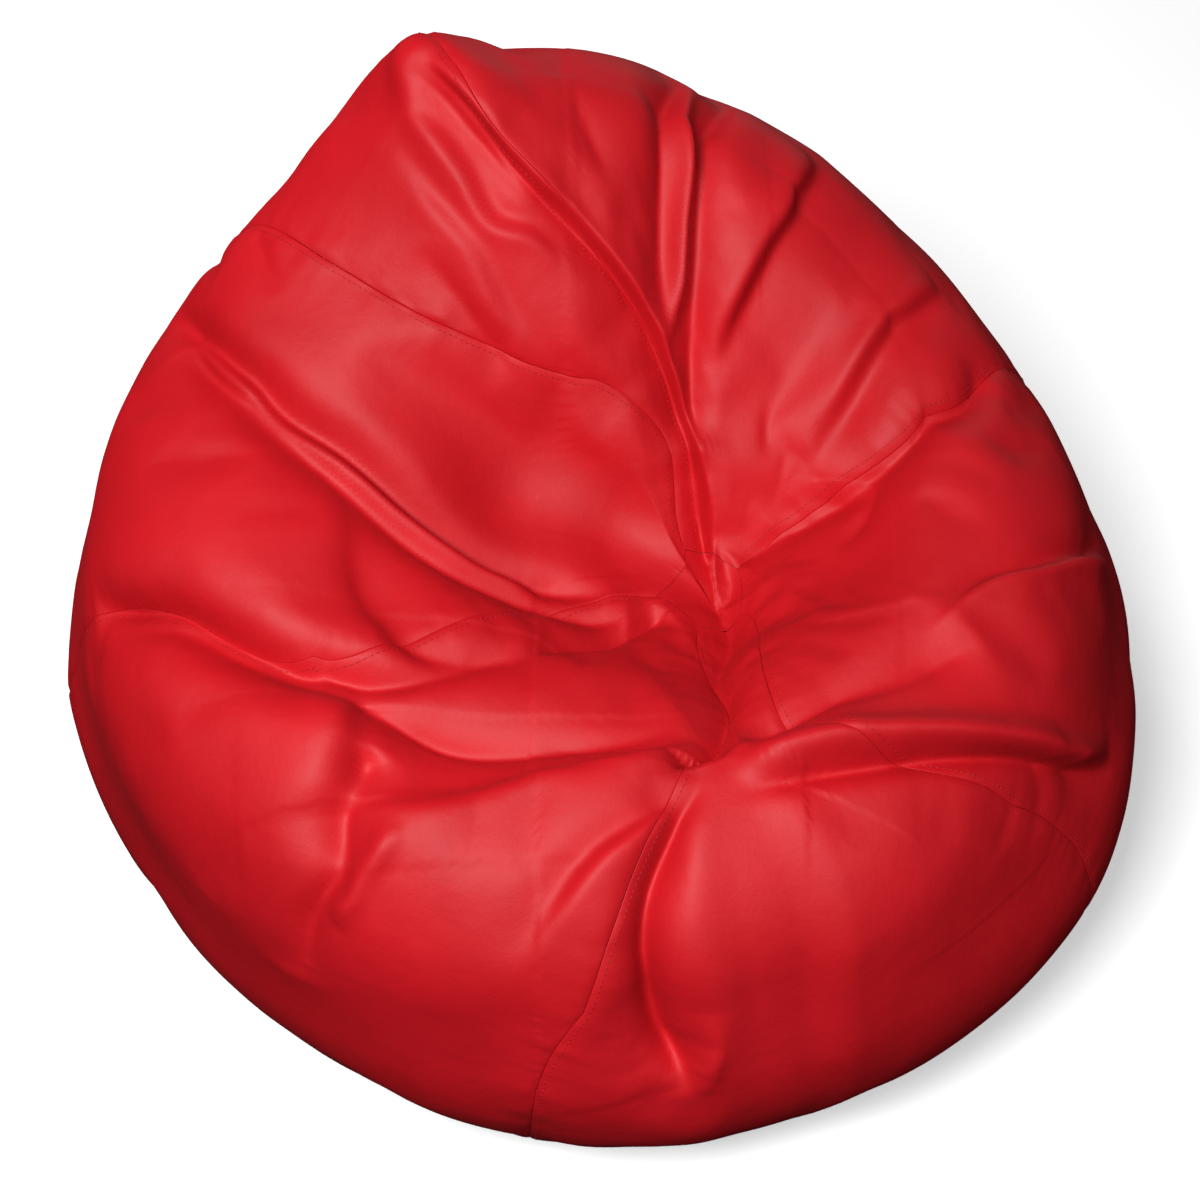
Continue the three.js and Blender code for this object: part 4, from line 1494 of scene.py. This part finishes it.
    def gore(self, gore: int, finish: bpy.types.Material) -> bpy.types.Object:
        """Makes one gore, with its seam allowances turned inwards.

        Args:
            gore: the gore's number.
            finish: its material.

        Returns:
            The gore.
        """
        bearings, reaches = self.gore_grid(gore)
        rows, columns = bearings.shape
        points = self.shape.points(bearings, reaches).reshape(rows, columns, 3)
        inward = -self.shape.form.normals(bearings[:, [0, -1]].ravel(), reaches[:, [0, -1]].ravel())
        inward = inward.reshape(rows, 2, 3)
        for edge, neighbour in ((0, 3), (columns - 1, columns - 4)):
            away = points[:, neighbour] - points[:, edge]
            away /= np.linalg.norm(away, axis=1, keepdims=True)
            points[:, edge] += away * self.seam_gap / 2
        allowance = np.ones((rows, 1))
        if Seam.BACK in (SEAMS[gore], SEAMS[(gore + 1) % len(SEAMS)]):
            open_share = self.slot(reaches[:, 0]) / self.shape.zip.slot_half_width
            allowance = 1 - (1 - self.zip_hem / self.turned_in[0]) * open_share[:, None]
        left = [points[:, 0] + inward[:, 0] * depth * allowance for depth in self.turned_in]
        right = [points[:, -1] + inward[:, 1] * depth * allowance for depth in reversed(self.turned_in)]
        sheet = np.stack([*left, *(points[:, i] for i in range(columns)), *right], axis=1)
        count = sheet.shape[1]
        name = GORE_NAMES[gore]
        piece = make_piece(f"{name}_leatherette", sheet.reshape(-1, 3), grid_faces(rows, count), finish)
        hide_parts(name)
        return piece

    def cap(self, finish: bpy.types.Material) -> bpy.types.Object:
        """Makes the hexagonal top cap.

        Args:
            finish: its material.

        Returns:
            The cap.
        """
        bearings, reaches = [], []
        for gore in range(len(SEAMS)):
            share = np.linspace(0, 1, self.cap_columns, endpoint=False)
            edge = self.cap_edge(gore, share)
            low, high = self.edges(gore, edge)
            bearings.append(low + (high - low) * share)
            reaches.append(edge)
        bearing = np.concatenate(bearings)
        edge = np.concatenate(reaches)
        steps = np.linspace(self.cap_first_ring, self.cap_inset, self.cap_rings)
        grid_reach = np.concatenate([edge * step for step in steps])
        points = self.shape.points(np.tile(bearing, self.cap_rings), grid_reach)
        count = len(bearing)
        faces = grid_faces(self.cap_rings, count, closed=True) + fan_faces(0, self.cap_rings * count, count)
        sheet = np.concatenate([points, self.shape.middle()])
        piece = make_piece("top_cap_leatherette", sheet, faces, finish)
        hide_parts("top_cap")
        return piece

    def base(self, finish: bpy.types.Material) -> bpy.types.Object:
        """Makes the round base.

        Args:
            finish: its material.

        Returns:
            The base.
        """
        count = self.base_columns
        bearing = np.linspace(0, FULL_TURN, count, endpoint=False)
        rim = self.shape.form.points(bearing, np.full(count, BASE_EDGE))
        middle = rim.mean(axis=0)
        inset = 1 - self.base_inset / np.linalg.norm(rim - middle, axis=1, keepdims=True)
        points = [middle + (rim - middle) * inset * ring for ring in self.base_rings]
        sheet = np.concatenate([*points, middle[None, :]])
        sheet[:, 2] = self.base_lift
        faces = grid_faces(len(self.base_rings), count, closed=True)
        last = (len(self.base_rings) - 1) * count
        faces += [face[::-1] for face in fan_faces(last, len(sheet) - 1, count)]
        piece = make_piece("base_panel_leatherette", sheet, faces, finish)
        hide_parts("base_panel")
        return piece

    def build(self) -> list[bpy.types.Object]:
        """Makes and dresses every piece of the cover.

        Returns:
            The pieces.
        """
        finish = self.finish.build("red_leatherette")
        pieces = [self.gore(gore, finish) for gore in range(len(SEAMS))]
        pieces += [self.cap(finish), self.base(finish)]
        for piece in pieces:
            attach(piece, BODY)
        return pieces


# ---------------------------------------------------------------- the inside
@dataclass
class Inside:
    """The liner and the bead filling, which follow the cover's creases from inside."""

    shape: CoverShape
    liner_depth: float = 28 * MM
    fill_depth: float = 34 * MM
    liner_depth_at_zip: float = 7.7 * MM
    fill_depth_at_zip: float = 10.5 * MM
    rows: int = 70
    columns: int = 60
    row_gap: float = 0.03
    floor_aside: tuple[float, float] = (-100 * MM, 40 * MM)
    liner_finish: WovenFinish = WovenFinish((0.74, 0.71, 0.64), 0.8 * MM)
    bead_finish: PlainFinish = PlainFinish((0.9, 0.9, 0.88), 0.8, grain=260.0, grain_height=1.2 * MM)
    strip_finish: PlainFinish = PlainFinish((0.64, 0.6, 0.53), 0.95, grain=500.0, grain_height=0.4 * MM)

    def layer(
        self,
        name: str,
        turn: tuple[float, float],
        depths: tuple[float, float],
        finish: bpy.types.Material,
        node: str,
    ) -> bpy.types.Object:
        """Makes one layer between two bearings, closed under the bag and in the middle of the hollow.

        Args:
            name: the piece's name.
            turn: the bearings that it lies between.
            depths: how far it lies inside the cover, at the zip and away from it.
            finish: its material.
            node: the node that it stands for.

        Returns:
            The piece.
        """
        closed = turn[1] - turn[0] >= FULL_TURN
        bearing = np.linspace(*turn, self.columns, endpoint=not closed)
        inner = np.linspace(self.row_gap, CREST, self.rows // 3)
        reach = np.concatenate([inner, np.linspace(CREST + self.row_gap, BASE_EDGE, 2 * self.rows // 3)])
        grid_reach, grid_bearing = (grid.ravel() for grid in np.meshgrid(reach, bearing, indexing="ij"))
        at_zip, depth = depths
        share = self.shape.calm(self.shape.form.points(grid_bearing, grid_reach), grid_reach)
        points = self.shape.points(grid_bearing, grid_reach, at_zip + (depth - at_zip) * share, seams=False)
        points[:, 2] = np.maximum(points[:, 2], depth)
        top = self.shape.middle(depth, seams=False)
        floor = np.array([[top[0, 0] + self.floor_aside[0], top[0, 1] + self.floor_aside[1], depth]])
        rows = len(reach)
        faces = grid_faces(rows, self.columns, closed)
        faces += closing_faces(rows, self.columns, self.columns if closed else self.columns - 1)
        piece = make_piece(name, np.concatenate([points, top, floor]), faces, finish)
        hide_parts(node)
        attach(piece, BODY)
        return piece

    def build(self) -> list[bpy.types.Object]:
        """Makes the two halves of the liner and the filling, and dresses the liner's closure strips.

        Returns:
            The three pieces.
        """
        cloth = self.liner_finish.build("liner_cloth")
        beads = self.bead_finish.build("foam_beads")
        strip = self.strip_finish.build("hook_and_loop")
        liner = (self.liner_depth_at_zip, self.liner_depth)
        fill = (self.fill_depth_at_zip, self.fill_depth)
        front = self.layer("liner_front_cloth", (-90, 90), liner, cloth, "liner_front")
        back = self.layer("liner_back_cloth", (90, 270), liner, cloth, "liner_back")
        filling = self.layer("bead_filling", (0, FULL_TURN), fill, beads, "bead_fill")
        dress(strip, "liner_closure_hook_strip", "liner_closure_loop_strip")
        return [front, back, filling]


# ---------------------------------------------------------------- stitching
@dataclass
class Stitching:
    """Rows of short thread stitches beside the seams, as one piece for each row."""

    cover: Cover
    aside: float = 5.5 * MM
    pitch: float = 5.2 * MM
    length: float = 3.9 * MM
    radius: float = 0.42 * MM
    raised: float = 0.15 * MM
    first_reach: float = 0.15
    past_crest: float = 1.006
    last_reach: float = 1.93
    inner_samples: int = 160
    outer_samples: int = 180
    sides: int = 5
    rings: tuple[tuple[float, float], ...] = ((-0.5, 0.35), (-0.3, 0.9), (0.0, 1.0), (0.3, 0.9), (0.5, 0.35))
    finish: PlainFinish = PlainFinish((0.42, 0.006, 0.012), 0.55, grain=1500.0, grain_height=0.08 * MM)

    def row(
        self, name: str, bearing: np.ndarray, reach: np.ndarray, aside: np.ndarray, finish: bpy.types.Material
    ) -> bpy.types.Object:
        """Makes one row of stitches.

        Args:
            name: the piece's name.
            bearing: bearings of points along the seam.
            reach: reaches of those points.
            aside: how far the row lies to the side of the seam at each point.
            finish: the thread's material.

        Returns:
            The piece.
        """
        shape = self.cover.shape
        line = shape.form.points(bearing, reach)
        run = np.concatenate([[0], np.cumsum(np.linalg.norm(np.diff(line, axis=0), axis=1))])
        middles = np.arange(2 * self.pitch, run[-1] - 2 * self.pitch, self.pitch)
        places = np.concatenate([middles + share * self.length for share, _ in self.rings])
        turn, depth = np.interp(places, run, bearing), np.interp(places, run, reach)
        side = np.interp(places, run, aside)
        ahead = shape.form.points(np.interp(places + MM, run, bearing), np.interp(places + MM, run, reach))
        along = ahead - shape.form.points(turn, depth)
        normal = shape.form.normals(turn, depth)
        across = np.cross(normal, along)
        across /= np.maximum(np.linalg.norm(across, axis=1, keepdims=True), TINY)
        centre = shape.points(*step_aside(shape.form, turn, depth, across * side[:, None]))
        count = len(middles)
        corners = self.corners(centre, normal, across, count)
        faces = [face for stitch in range(count) for face in self.stitch_faces(stitch)]
        piece = make_piece(name, corners, faces, finish)
        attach(piece, BODY)
        return piece

    def corners(self, centre: np.ndarray, normal: np.ndarray, across: np.ndarray, count: int) -> np.ndarray:
        """Places the corners of every stitch, ring after ring.

        Args:
            centre: the rings' middles, the first ring of all the stitches first.
            normal: the cover's outward directions there.
            across: the directions across the row there.
            count: how many stitches there are.

        Returns:
            Rows of x, y and z, one stitch after another.
        """
        vertices = []
        for ring, (share, size) in enumerate(self.rings):
            own = slice(ring * count, (ring + 1) * count)
            lift = self.raised - (2 * abs(share)) ** 3 * 2 * self.raised
            for corner in range(self.sides):
                angle = 2 * math.pi * corner / self.sides
                spoke = normal[own] * math.sin(angle) + across[own] * math.cos(angle)
                vertices.append(centre[own] + normal[own] * lift + spoke * self.radius * size)
        return np.stack(vertices, axis=1).reshape(-1, 3)

    def stitch_faces(self, stitch: int) -> list[tuple[int, ...]]:
        """Joins the corners of one stitch.

        Args:
            stitch: its number in the row.

        Returns:
            Its faces, as vertex indices.
        """
        step = len(self.rings) * self.sides
        start = stitch * step
        faces = []
        for ring in range(start, start + step - self.sides, self.sides):
            for corner in range(self.sides):
                a, b = ring + corner, ring + (corner + 1) % self.sides
                faces.append((a, b, b + self.sides, a + self.sides))
        faces.append(tuple(start + corner for corner in reversed(range(self.sides))))
        faces.append(tuple(start + step - self.sides + corner for corner in range(self.sides)))
        return faces

    def build(self) -> list[bpy.types.Object]:
        """Sews one row beside each seam, and a second one beside the back seam.

        Returns:
            The rows.
        """
        finish = self.finish.build("red_thread")
        inner = np.linspace(self.first_reach, CREST, self.inner_samples)
        reach = np.concatenate([inner, np.linspace(self.past_crest, self.last_reach, self.outer_samples)])
        pieces = []
        for seam in SEAMS:
            bearing = seam.bearing(reach)
            open_by = self.cover.slot(reach) if seam is Seam.BACK else np.zeros(len(reach))
            name = f"{seam.name.lower()}_seam_stitches"
            pieces.append(self.row(name, bearing, reach, self.aside + open_by, finish))
            if seam is Seam.BACK:
                low = reach > self.cover.slot_from
                aside = -(self.aside + open_by)[low]
                pieces.append(self.row("zip_side_stitches", bearing[low], reach[low], aside, finish))
        return pieces


# ---------------------------------------------------------------- the zip and the label
def dress(finish: bpy.types.Material, *names: str) -> None:
    """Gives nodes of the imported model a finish.

    Args:
        finish: the material.
        names: the nodes' names.
    """
    for name in names:
        node = FRAME_NODES[name]
        for place in node.material_slots:
            place.material = finish
        if not node.material_slots:
            node.data.materials.append(finish)
        LOG.info("%s: %s", name, finish.name)


def strip_grid(width: float, half: float, columns: int, rows: int) -> tuple[np.ndarray, np.ndarray]:
    """Lays out a flat strip.

    Args:
        width: its width.
        half: half its height.
        columns: how many points across.
        rows: how many points from the top down.

    Returns:
        Each point's place across and up from the middle.
    """
    sides, heights = np.meshgrid(np.linspace(-0.5, 0.5, columns), np.linspace(half, -half, rows))
    return sides.ravel() * width, heights.ravel()


@dataclass(frozen=True)
class Zip:
    """The zip in the back seam: woven tapes, moulded teeth, stops, a slider with its pull, and a guard."""

    place: ZipPlace
    guard_width: float = 32 * MM
    guard_spare: float = 10 * MM
    guard_depth: float = 4.0 * MM
    ripple_height: float = 0.2 * MM
    ripple_length: float = 18 * MM
    guard_rows: int = 40
    guard_columns: int = 9
    tape: WovenFinish = WovenFinish((0.27, 0.008, 0.016), 0.9 * MM, sheen=0.1)
    teeth: PlainFinish = PlainFinish((0.34, 0.008, 0.016), 0.34, grain=700.0, grain_height=0.03 * MM)
    metal: MetalFinish = MetalFinish()
    edge: float = 0.35 * MM
    sharp: float = math.radians(50)

    def soften(self, name: str, width: float) -> None:
        """Rounds a node's sharp edges.

        Args:
            name: the node's name.
            width: how wide the rounding is.
        """
        modifier = FRAME_NODES[name].modifiers.new("rounded", "BEVEL")
        modifier.width = width
        modifier.segments = 2
        modifier.limit_method = "ANGLE"
        modifier.angle_limit = self.sharp

    def guard(self, finish: bpy.types.Material) -> bpy.types.Object:
        """Hangs a strip of cloth behind the teeth, which keeps the liner out of the slider.

        Args:
            finish: its material.

        Returns:
            The strip.
        """
        half = self.place.half_length + self.guard_spare
        sides, heights = strip_grid(self.guard_width, half, self.guard_columns, self.guard_rows)
        ripple = self.ripple_height * np.cos(heights / self.ripple_length)
        depth = self.guard_depth + ripple * (1 - (2 * sides / self.guard_width) ** 2)
        points = (self.place.middle + sides[:, None] * self.place.across + heights[:, None] * self.place.up
                  - depth[:, None] * self.place.out)
        guard = make_piece("zip_guard_cloth", points, grid_faces(self.guard_rows, self.guard_columns), finish)
        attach(guard, BODY)
        return guard

    def build(self) -> None:
        """Dresses every part of the zip and adds its guard."""
        tape = self.tape.build("zip_tape_cloth")
        dress(tape, "zip_tape_left", "zip_tape_right")
        self.guard(tape)
        dress(self.teeth.build("zip_teeth_plastic"), "zip_teeth_left", "zip_teeth_right")
        dress(self.metal.build("plated_metal"), "zip_slider", "zip_pull", "zip_top_stop", "zip_bottom_stop")
        for name in ("zip_slider", "zip_pull"):
            self.soften(name, self.edge)
        for name in ("zip_top_stop", "zip_bottom_stop"):
            self.soften(name, self.edge / 2)


@dataclass(frozen=True)
class CareLabel:
    """A blank satin label sewn flat below the zip, with its loose end curling a little."""

    shape: CoverShape
    width: float = 24 * MM
    length: float = 42 * MM
    seam_reach: float = 1.45
    reach: float = 1.68
    proud: float = 1.0 * MM
    curl: float = 2.5 * MM
    curled_share: float = 0.1
    cup: float = 0.4
    columns: int = 9
    rows: int = 17
    finish: WovenFinish = WovenFinish((0.86, 0.84, 0.79), 0.5 * MM, 0.45, 0.3, 0.05 * MM)

    def build(self) -> bpy.types.Object:
        """Makes the label.

        Returns:
            The label.
        """
        form = self.shape.form
        bearing = Seam.BACK.bearing(np.full(1, self.seam_reach))
        out = form.normals(bearing, np.full(1, self.reach))[0]
        across = np.cross(np.array([0.0, 0.0, 1.0]), out)
        across /= np.linalg.norm(across)
        up = np.cross(out, across)
        sides, heights = strip_grid(self.width, self.length / 2, self.columns, self.rows)
        offset = sides[:, None] * across + heights[:, None] * up
        count = len(sides)
        turn, depth = step_aside(form, np.full(count, bearing[0]), np.full(count, self.reach), offset)
        loose = np.clip(-heights / self.length + self.curled_share, 0, 1)
        cupped = 1 + self.cup * np.cos(sides / self.width * 2 * math.pi)
        lift = self.proud + self.curl * loose**2 * cupped
        points = self.shape.points(turn, depth, seams=False) + form.normals(turn, depth) * lift[:, None]
        satin = self.finish.build("label_satin")
        label = make_piece("care_label_satin", points, grid_faces(self.rows, self.columns), satin)
        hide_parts("care_label")
        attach(label, BODY)
        return label


# ---------------------------------------------------------------- studio
@dataclass(frozen=True)
class SoftLight:
    """One square soft light: its name, place, width and power, and whether it leaves highlights."""

    name: str
    place: tuple[float, float, float]
    size: float
    power: float
    shines: bool = True

    def hang(self, target: Vector) -> None:
        """Hangs the light.

        Args:
            target: the place that it faces.
        """
        data = bpy.data.lights.new(self.name, "AREA")
        data.shape = "SQUARE"
        data.size = self.size
        data.energy = self.power
        lamp = bpy.data.objects.new(self.name, data)
        lamp.location = self.place
        lamp.visible_glossy = self.shines
        lamp.rotation_euler = (target - Vector(self.place)).to_track_quat("-Z", "Y").to_euler()
        bpy.context.scene.collection.objects.link(lamp)


@dataclass(frozen=True)
class Studio:
    """The floor, the soft lights and the camera."""

    lights: tuple[SoftLight, ...] = (
        SoftLight("key_light", (-0.68, -1.5, 2.65), 0.9, 80.0),
        SoftLight("fill_light", (1.1, -1.9, 2.4), 1.5, 15.0),
        SoftLight("back_light", (-1.7, 2.2, 1.3), 1.4, 36.0, shines=False),
        SoftLight("back_shine", (0.9, 2.7, 0.9), 1.4, 4.0),
    )

    target: tuple[float, float, float] = (0.003, 0.0, 0.262)
    elevation: float = 50.0
    distance: float = 2.1
    lens: float = 70.0
    sensor: float = 36.0
    sky_strength: float = 0.05
    sky_dark: tuple[float, float, float, float] = (0.03, 0.03, 0.03, 1)
    sky_bright: tuple[float, float, float, float] = (1, 1, 1, 1)
    horizon: tuple[float, float] = (0.42, 0.49)
    floor_glow: float = 0.42
    floor_radius: float = 4.0
    floor_columns: int = 96
    wall_bend: float = 2.5
    wall_height: float = 9.0

    def floor(self) -> None:
        """Lays a pale plain floor that curves up into a wall all round."""
        pale = PlainFinish((0.9, 0.9, 0.9), 0.9, grain=30.0, grain_height=0.0, variation=0.0)
        finish = pale.build("pale_floor")
        shader = finish.node_tree.nodes["Principled BSDF"]
        shader.inputs["Emission Color"].default_value = (1, 1, 1, 1)
        shader.inputs["Emission Strength"].default_value = self.floor_glow
        bend = np.radians(np.linspace(0, 90, 16))
        distance = np.concatenate([[0.5, 2.0], self.floor_radius + self.wall_bend * np.sin(bend)])
        height = np.concatenate([[0, 0], self.wall_bend * (1 - np.cos(bend))])
        distance = np.append(distance, distance[-1])
        height = np.append(height, self.wall_height)
        count = self.floor_columns
        angle = np.linspace(0, 2 * math.pi, count, endpoint=False)
        rings = [np.stack([far * np.sin(angle), -far * np.cos(angle), np.full(count, high)], axis=1)
                 for far, high in zip(distance, height)]
        points = np.concatenate([*rings, [[0.0, 0.0, 0.0]]])
        faces = grid_faces(len(rings), count, closed=True) + fan_faces(0, len(rings) * count, count)
        floor = make_piece("studio_floor", points, faces, finish)
        floor.visible_diffuse = False
        floor.visible_glossy = False
        floor.visible_shadow = False

    def camera(self, shift: tuple[float, float]) -> None:
        """Sets up the camera, looking down on the bag from the front.

        Args:
            shift: how far the frame's origin is from the form's.
        """
        data = bpy.data.cameras.new("camera")
        data.lens = self.lens
        data.sensor_width = self.sensor
        camera = bpy.data.objects.new("camera", data)
        tilt = math.radians(self.elevation)
        target = Vector(self.target) + Vector((*shift, 0))
        camera.location = target + self.distance * Vector((0, -math.cos(tilt), math.sin(tilt)))
        camera.rotation_euler = (target - camera.location).to_track_quat("-Z", "Y").to_euler()
        bpy.context.scene.collection.objects.link(camera)
        bpy.context.scene.camera = camera

    def build(self, shift: tuple[float, float]) -> None:
        """Builds the whole studio.

        Args:
            shift: how far the frame's origin is from the form's.
        """
        self.floor()
        for light in self.lights:
            light.hang(Vector(self.target))
        self.sky()
        bpy.context.scene.view_settings.view_transform = "Standard"
        self.camera(shift)

    def sky(self) -> None:
        """Surrounds the studio with soft light from above the horizon and little from below it."""
        world = bpy.data.worlds.new("studio_world")
        bpy.context.scene.world = world
        world.use_nodes = True
        tree = world.node_tree
        place = tree.nodes.new("ShaderNodeTexCoord")
        split = tree.nodes.new("ShaderNodeSeparateXYZ")
        ramp = tree.nodes.new("ShaderNodeValToRGB")
        tree.links.new(place.outputs["Generated"], split.inputs["Vector"])
        shifted = tree.nodes.new("ShaderNodeMath")
        shifted.operation = "MULTIPLY_ADD"
        shifted.inputs[1].default_value = 0.5
        shifted.inputs[2].default_value = 0.5
        tree.links.new(split.outputs["Z"], shifted.inputs[0])
        tree.links.new(shifted.outputs["Value"], ramp.inputs["Fac"])
        dark, bright = ramp.color_ramp.elements
        dark.position, bright.position = self.horizon
        dark.color, bright.color = self.sky_dark, self.sky_bright
        tree.links.new(ramp.outputs["Color"], tree.nodes["Background"].inputs["Color"])
        tree.nodes["Background"].inputs["Strength"].default_value = self.sky_strength


def frame_shift(form: BagForm) -> tuple[float, float]:
    """Finds how far the frame's origin is from the form's, from the base panel.

    Args:
        form: the form before it is shifted.

    Returns:
        The distances along X and Y.
    """
    low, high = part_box("base_panel")
    bearing = np.linspace(0, FULL_TURN, 720)
    rim = form.points(bearing, np.full(len(bearing), BASE_EDGE))
    middle = (rim.min(axis=0) + rim.max(axis=0)) / 2
    return (low[0] + high[0]) / 2 - middle[0], (low[1] + high[1]) / 2 - middle[1]


def main() -> None:
    """Builds the bean bag chair and its studio."""
    logging.basicConfig(level=logging.INFO, format="%(name)s: %(message)s")
    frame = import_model()
    FRAME_NODES.update(frame["nodes"])
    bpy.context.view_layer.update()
    shift = frame_shift(BagForm())
    LOG.info("frame shift %s", shift)
    form = BagForm(shift=shift)
    Studio().build(shift)
    shape = CoverShape(form, ZipPlace.from_frame(frame["record"]))
    shape.settling = ClothPass().run(shape)
    cover = Cover(shape)
    cover.build()
    Inside(shape).build()
    Stitching(cover).build()
    Zip(shape.zip).build()
    CareLabel(shape).build()


if __name__ == "__main__":
    main()
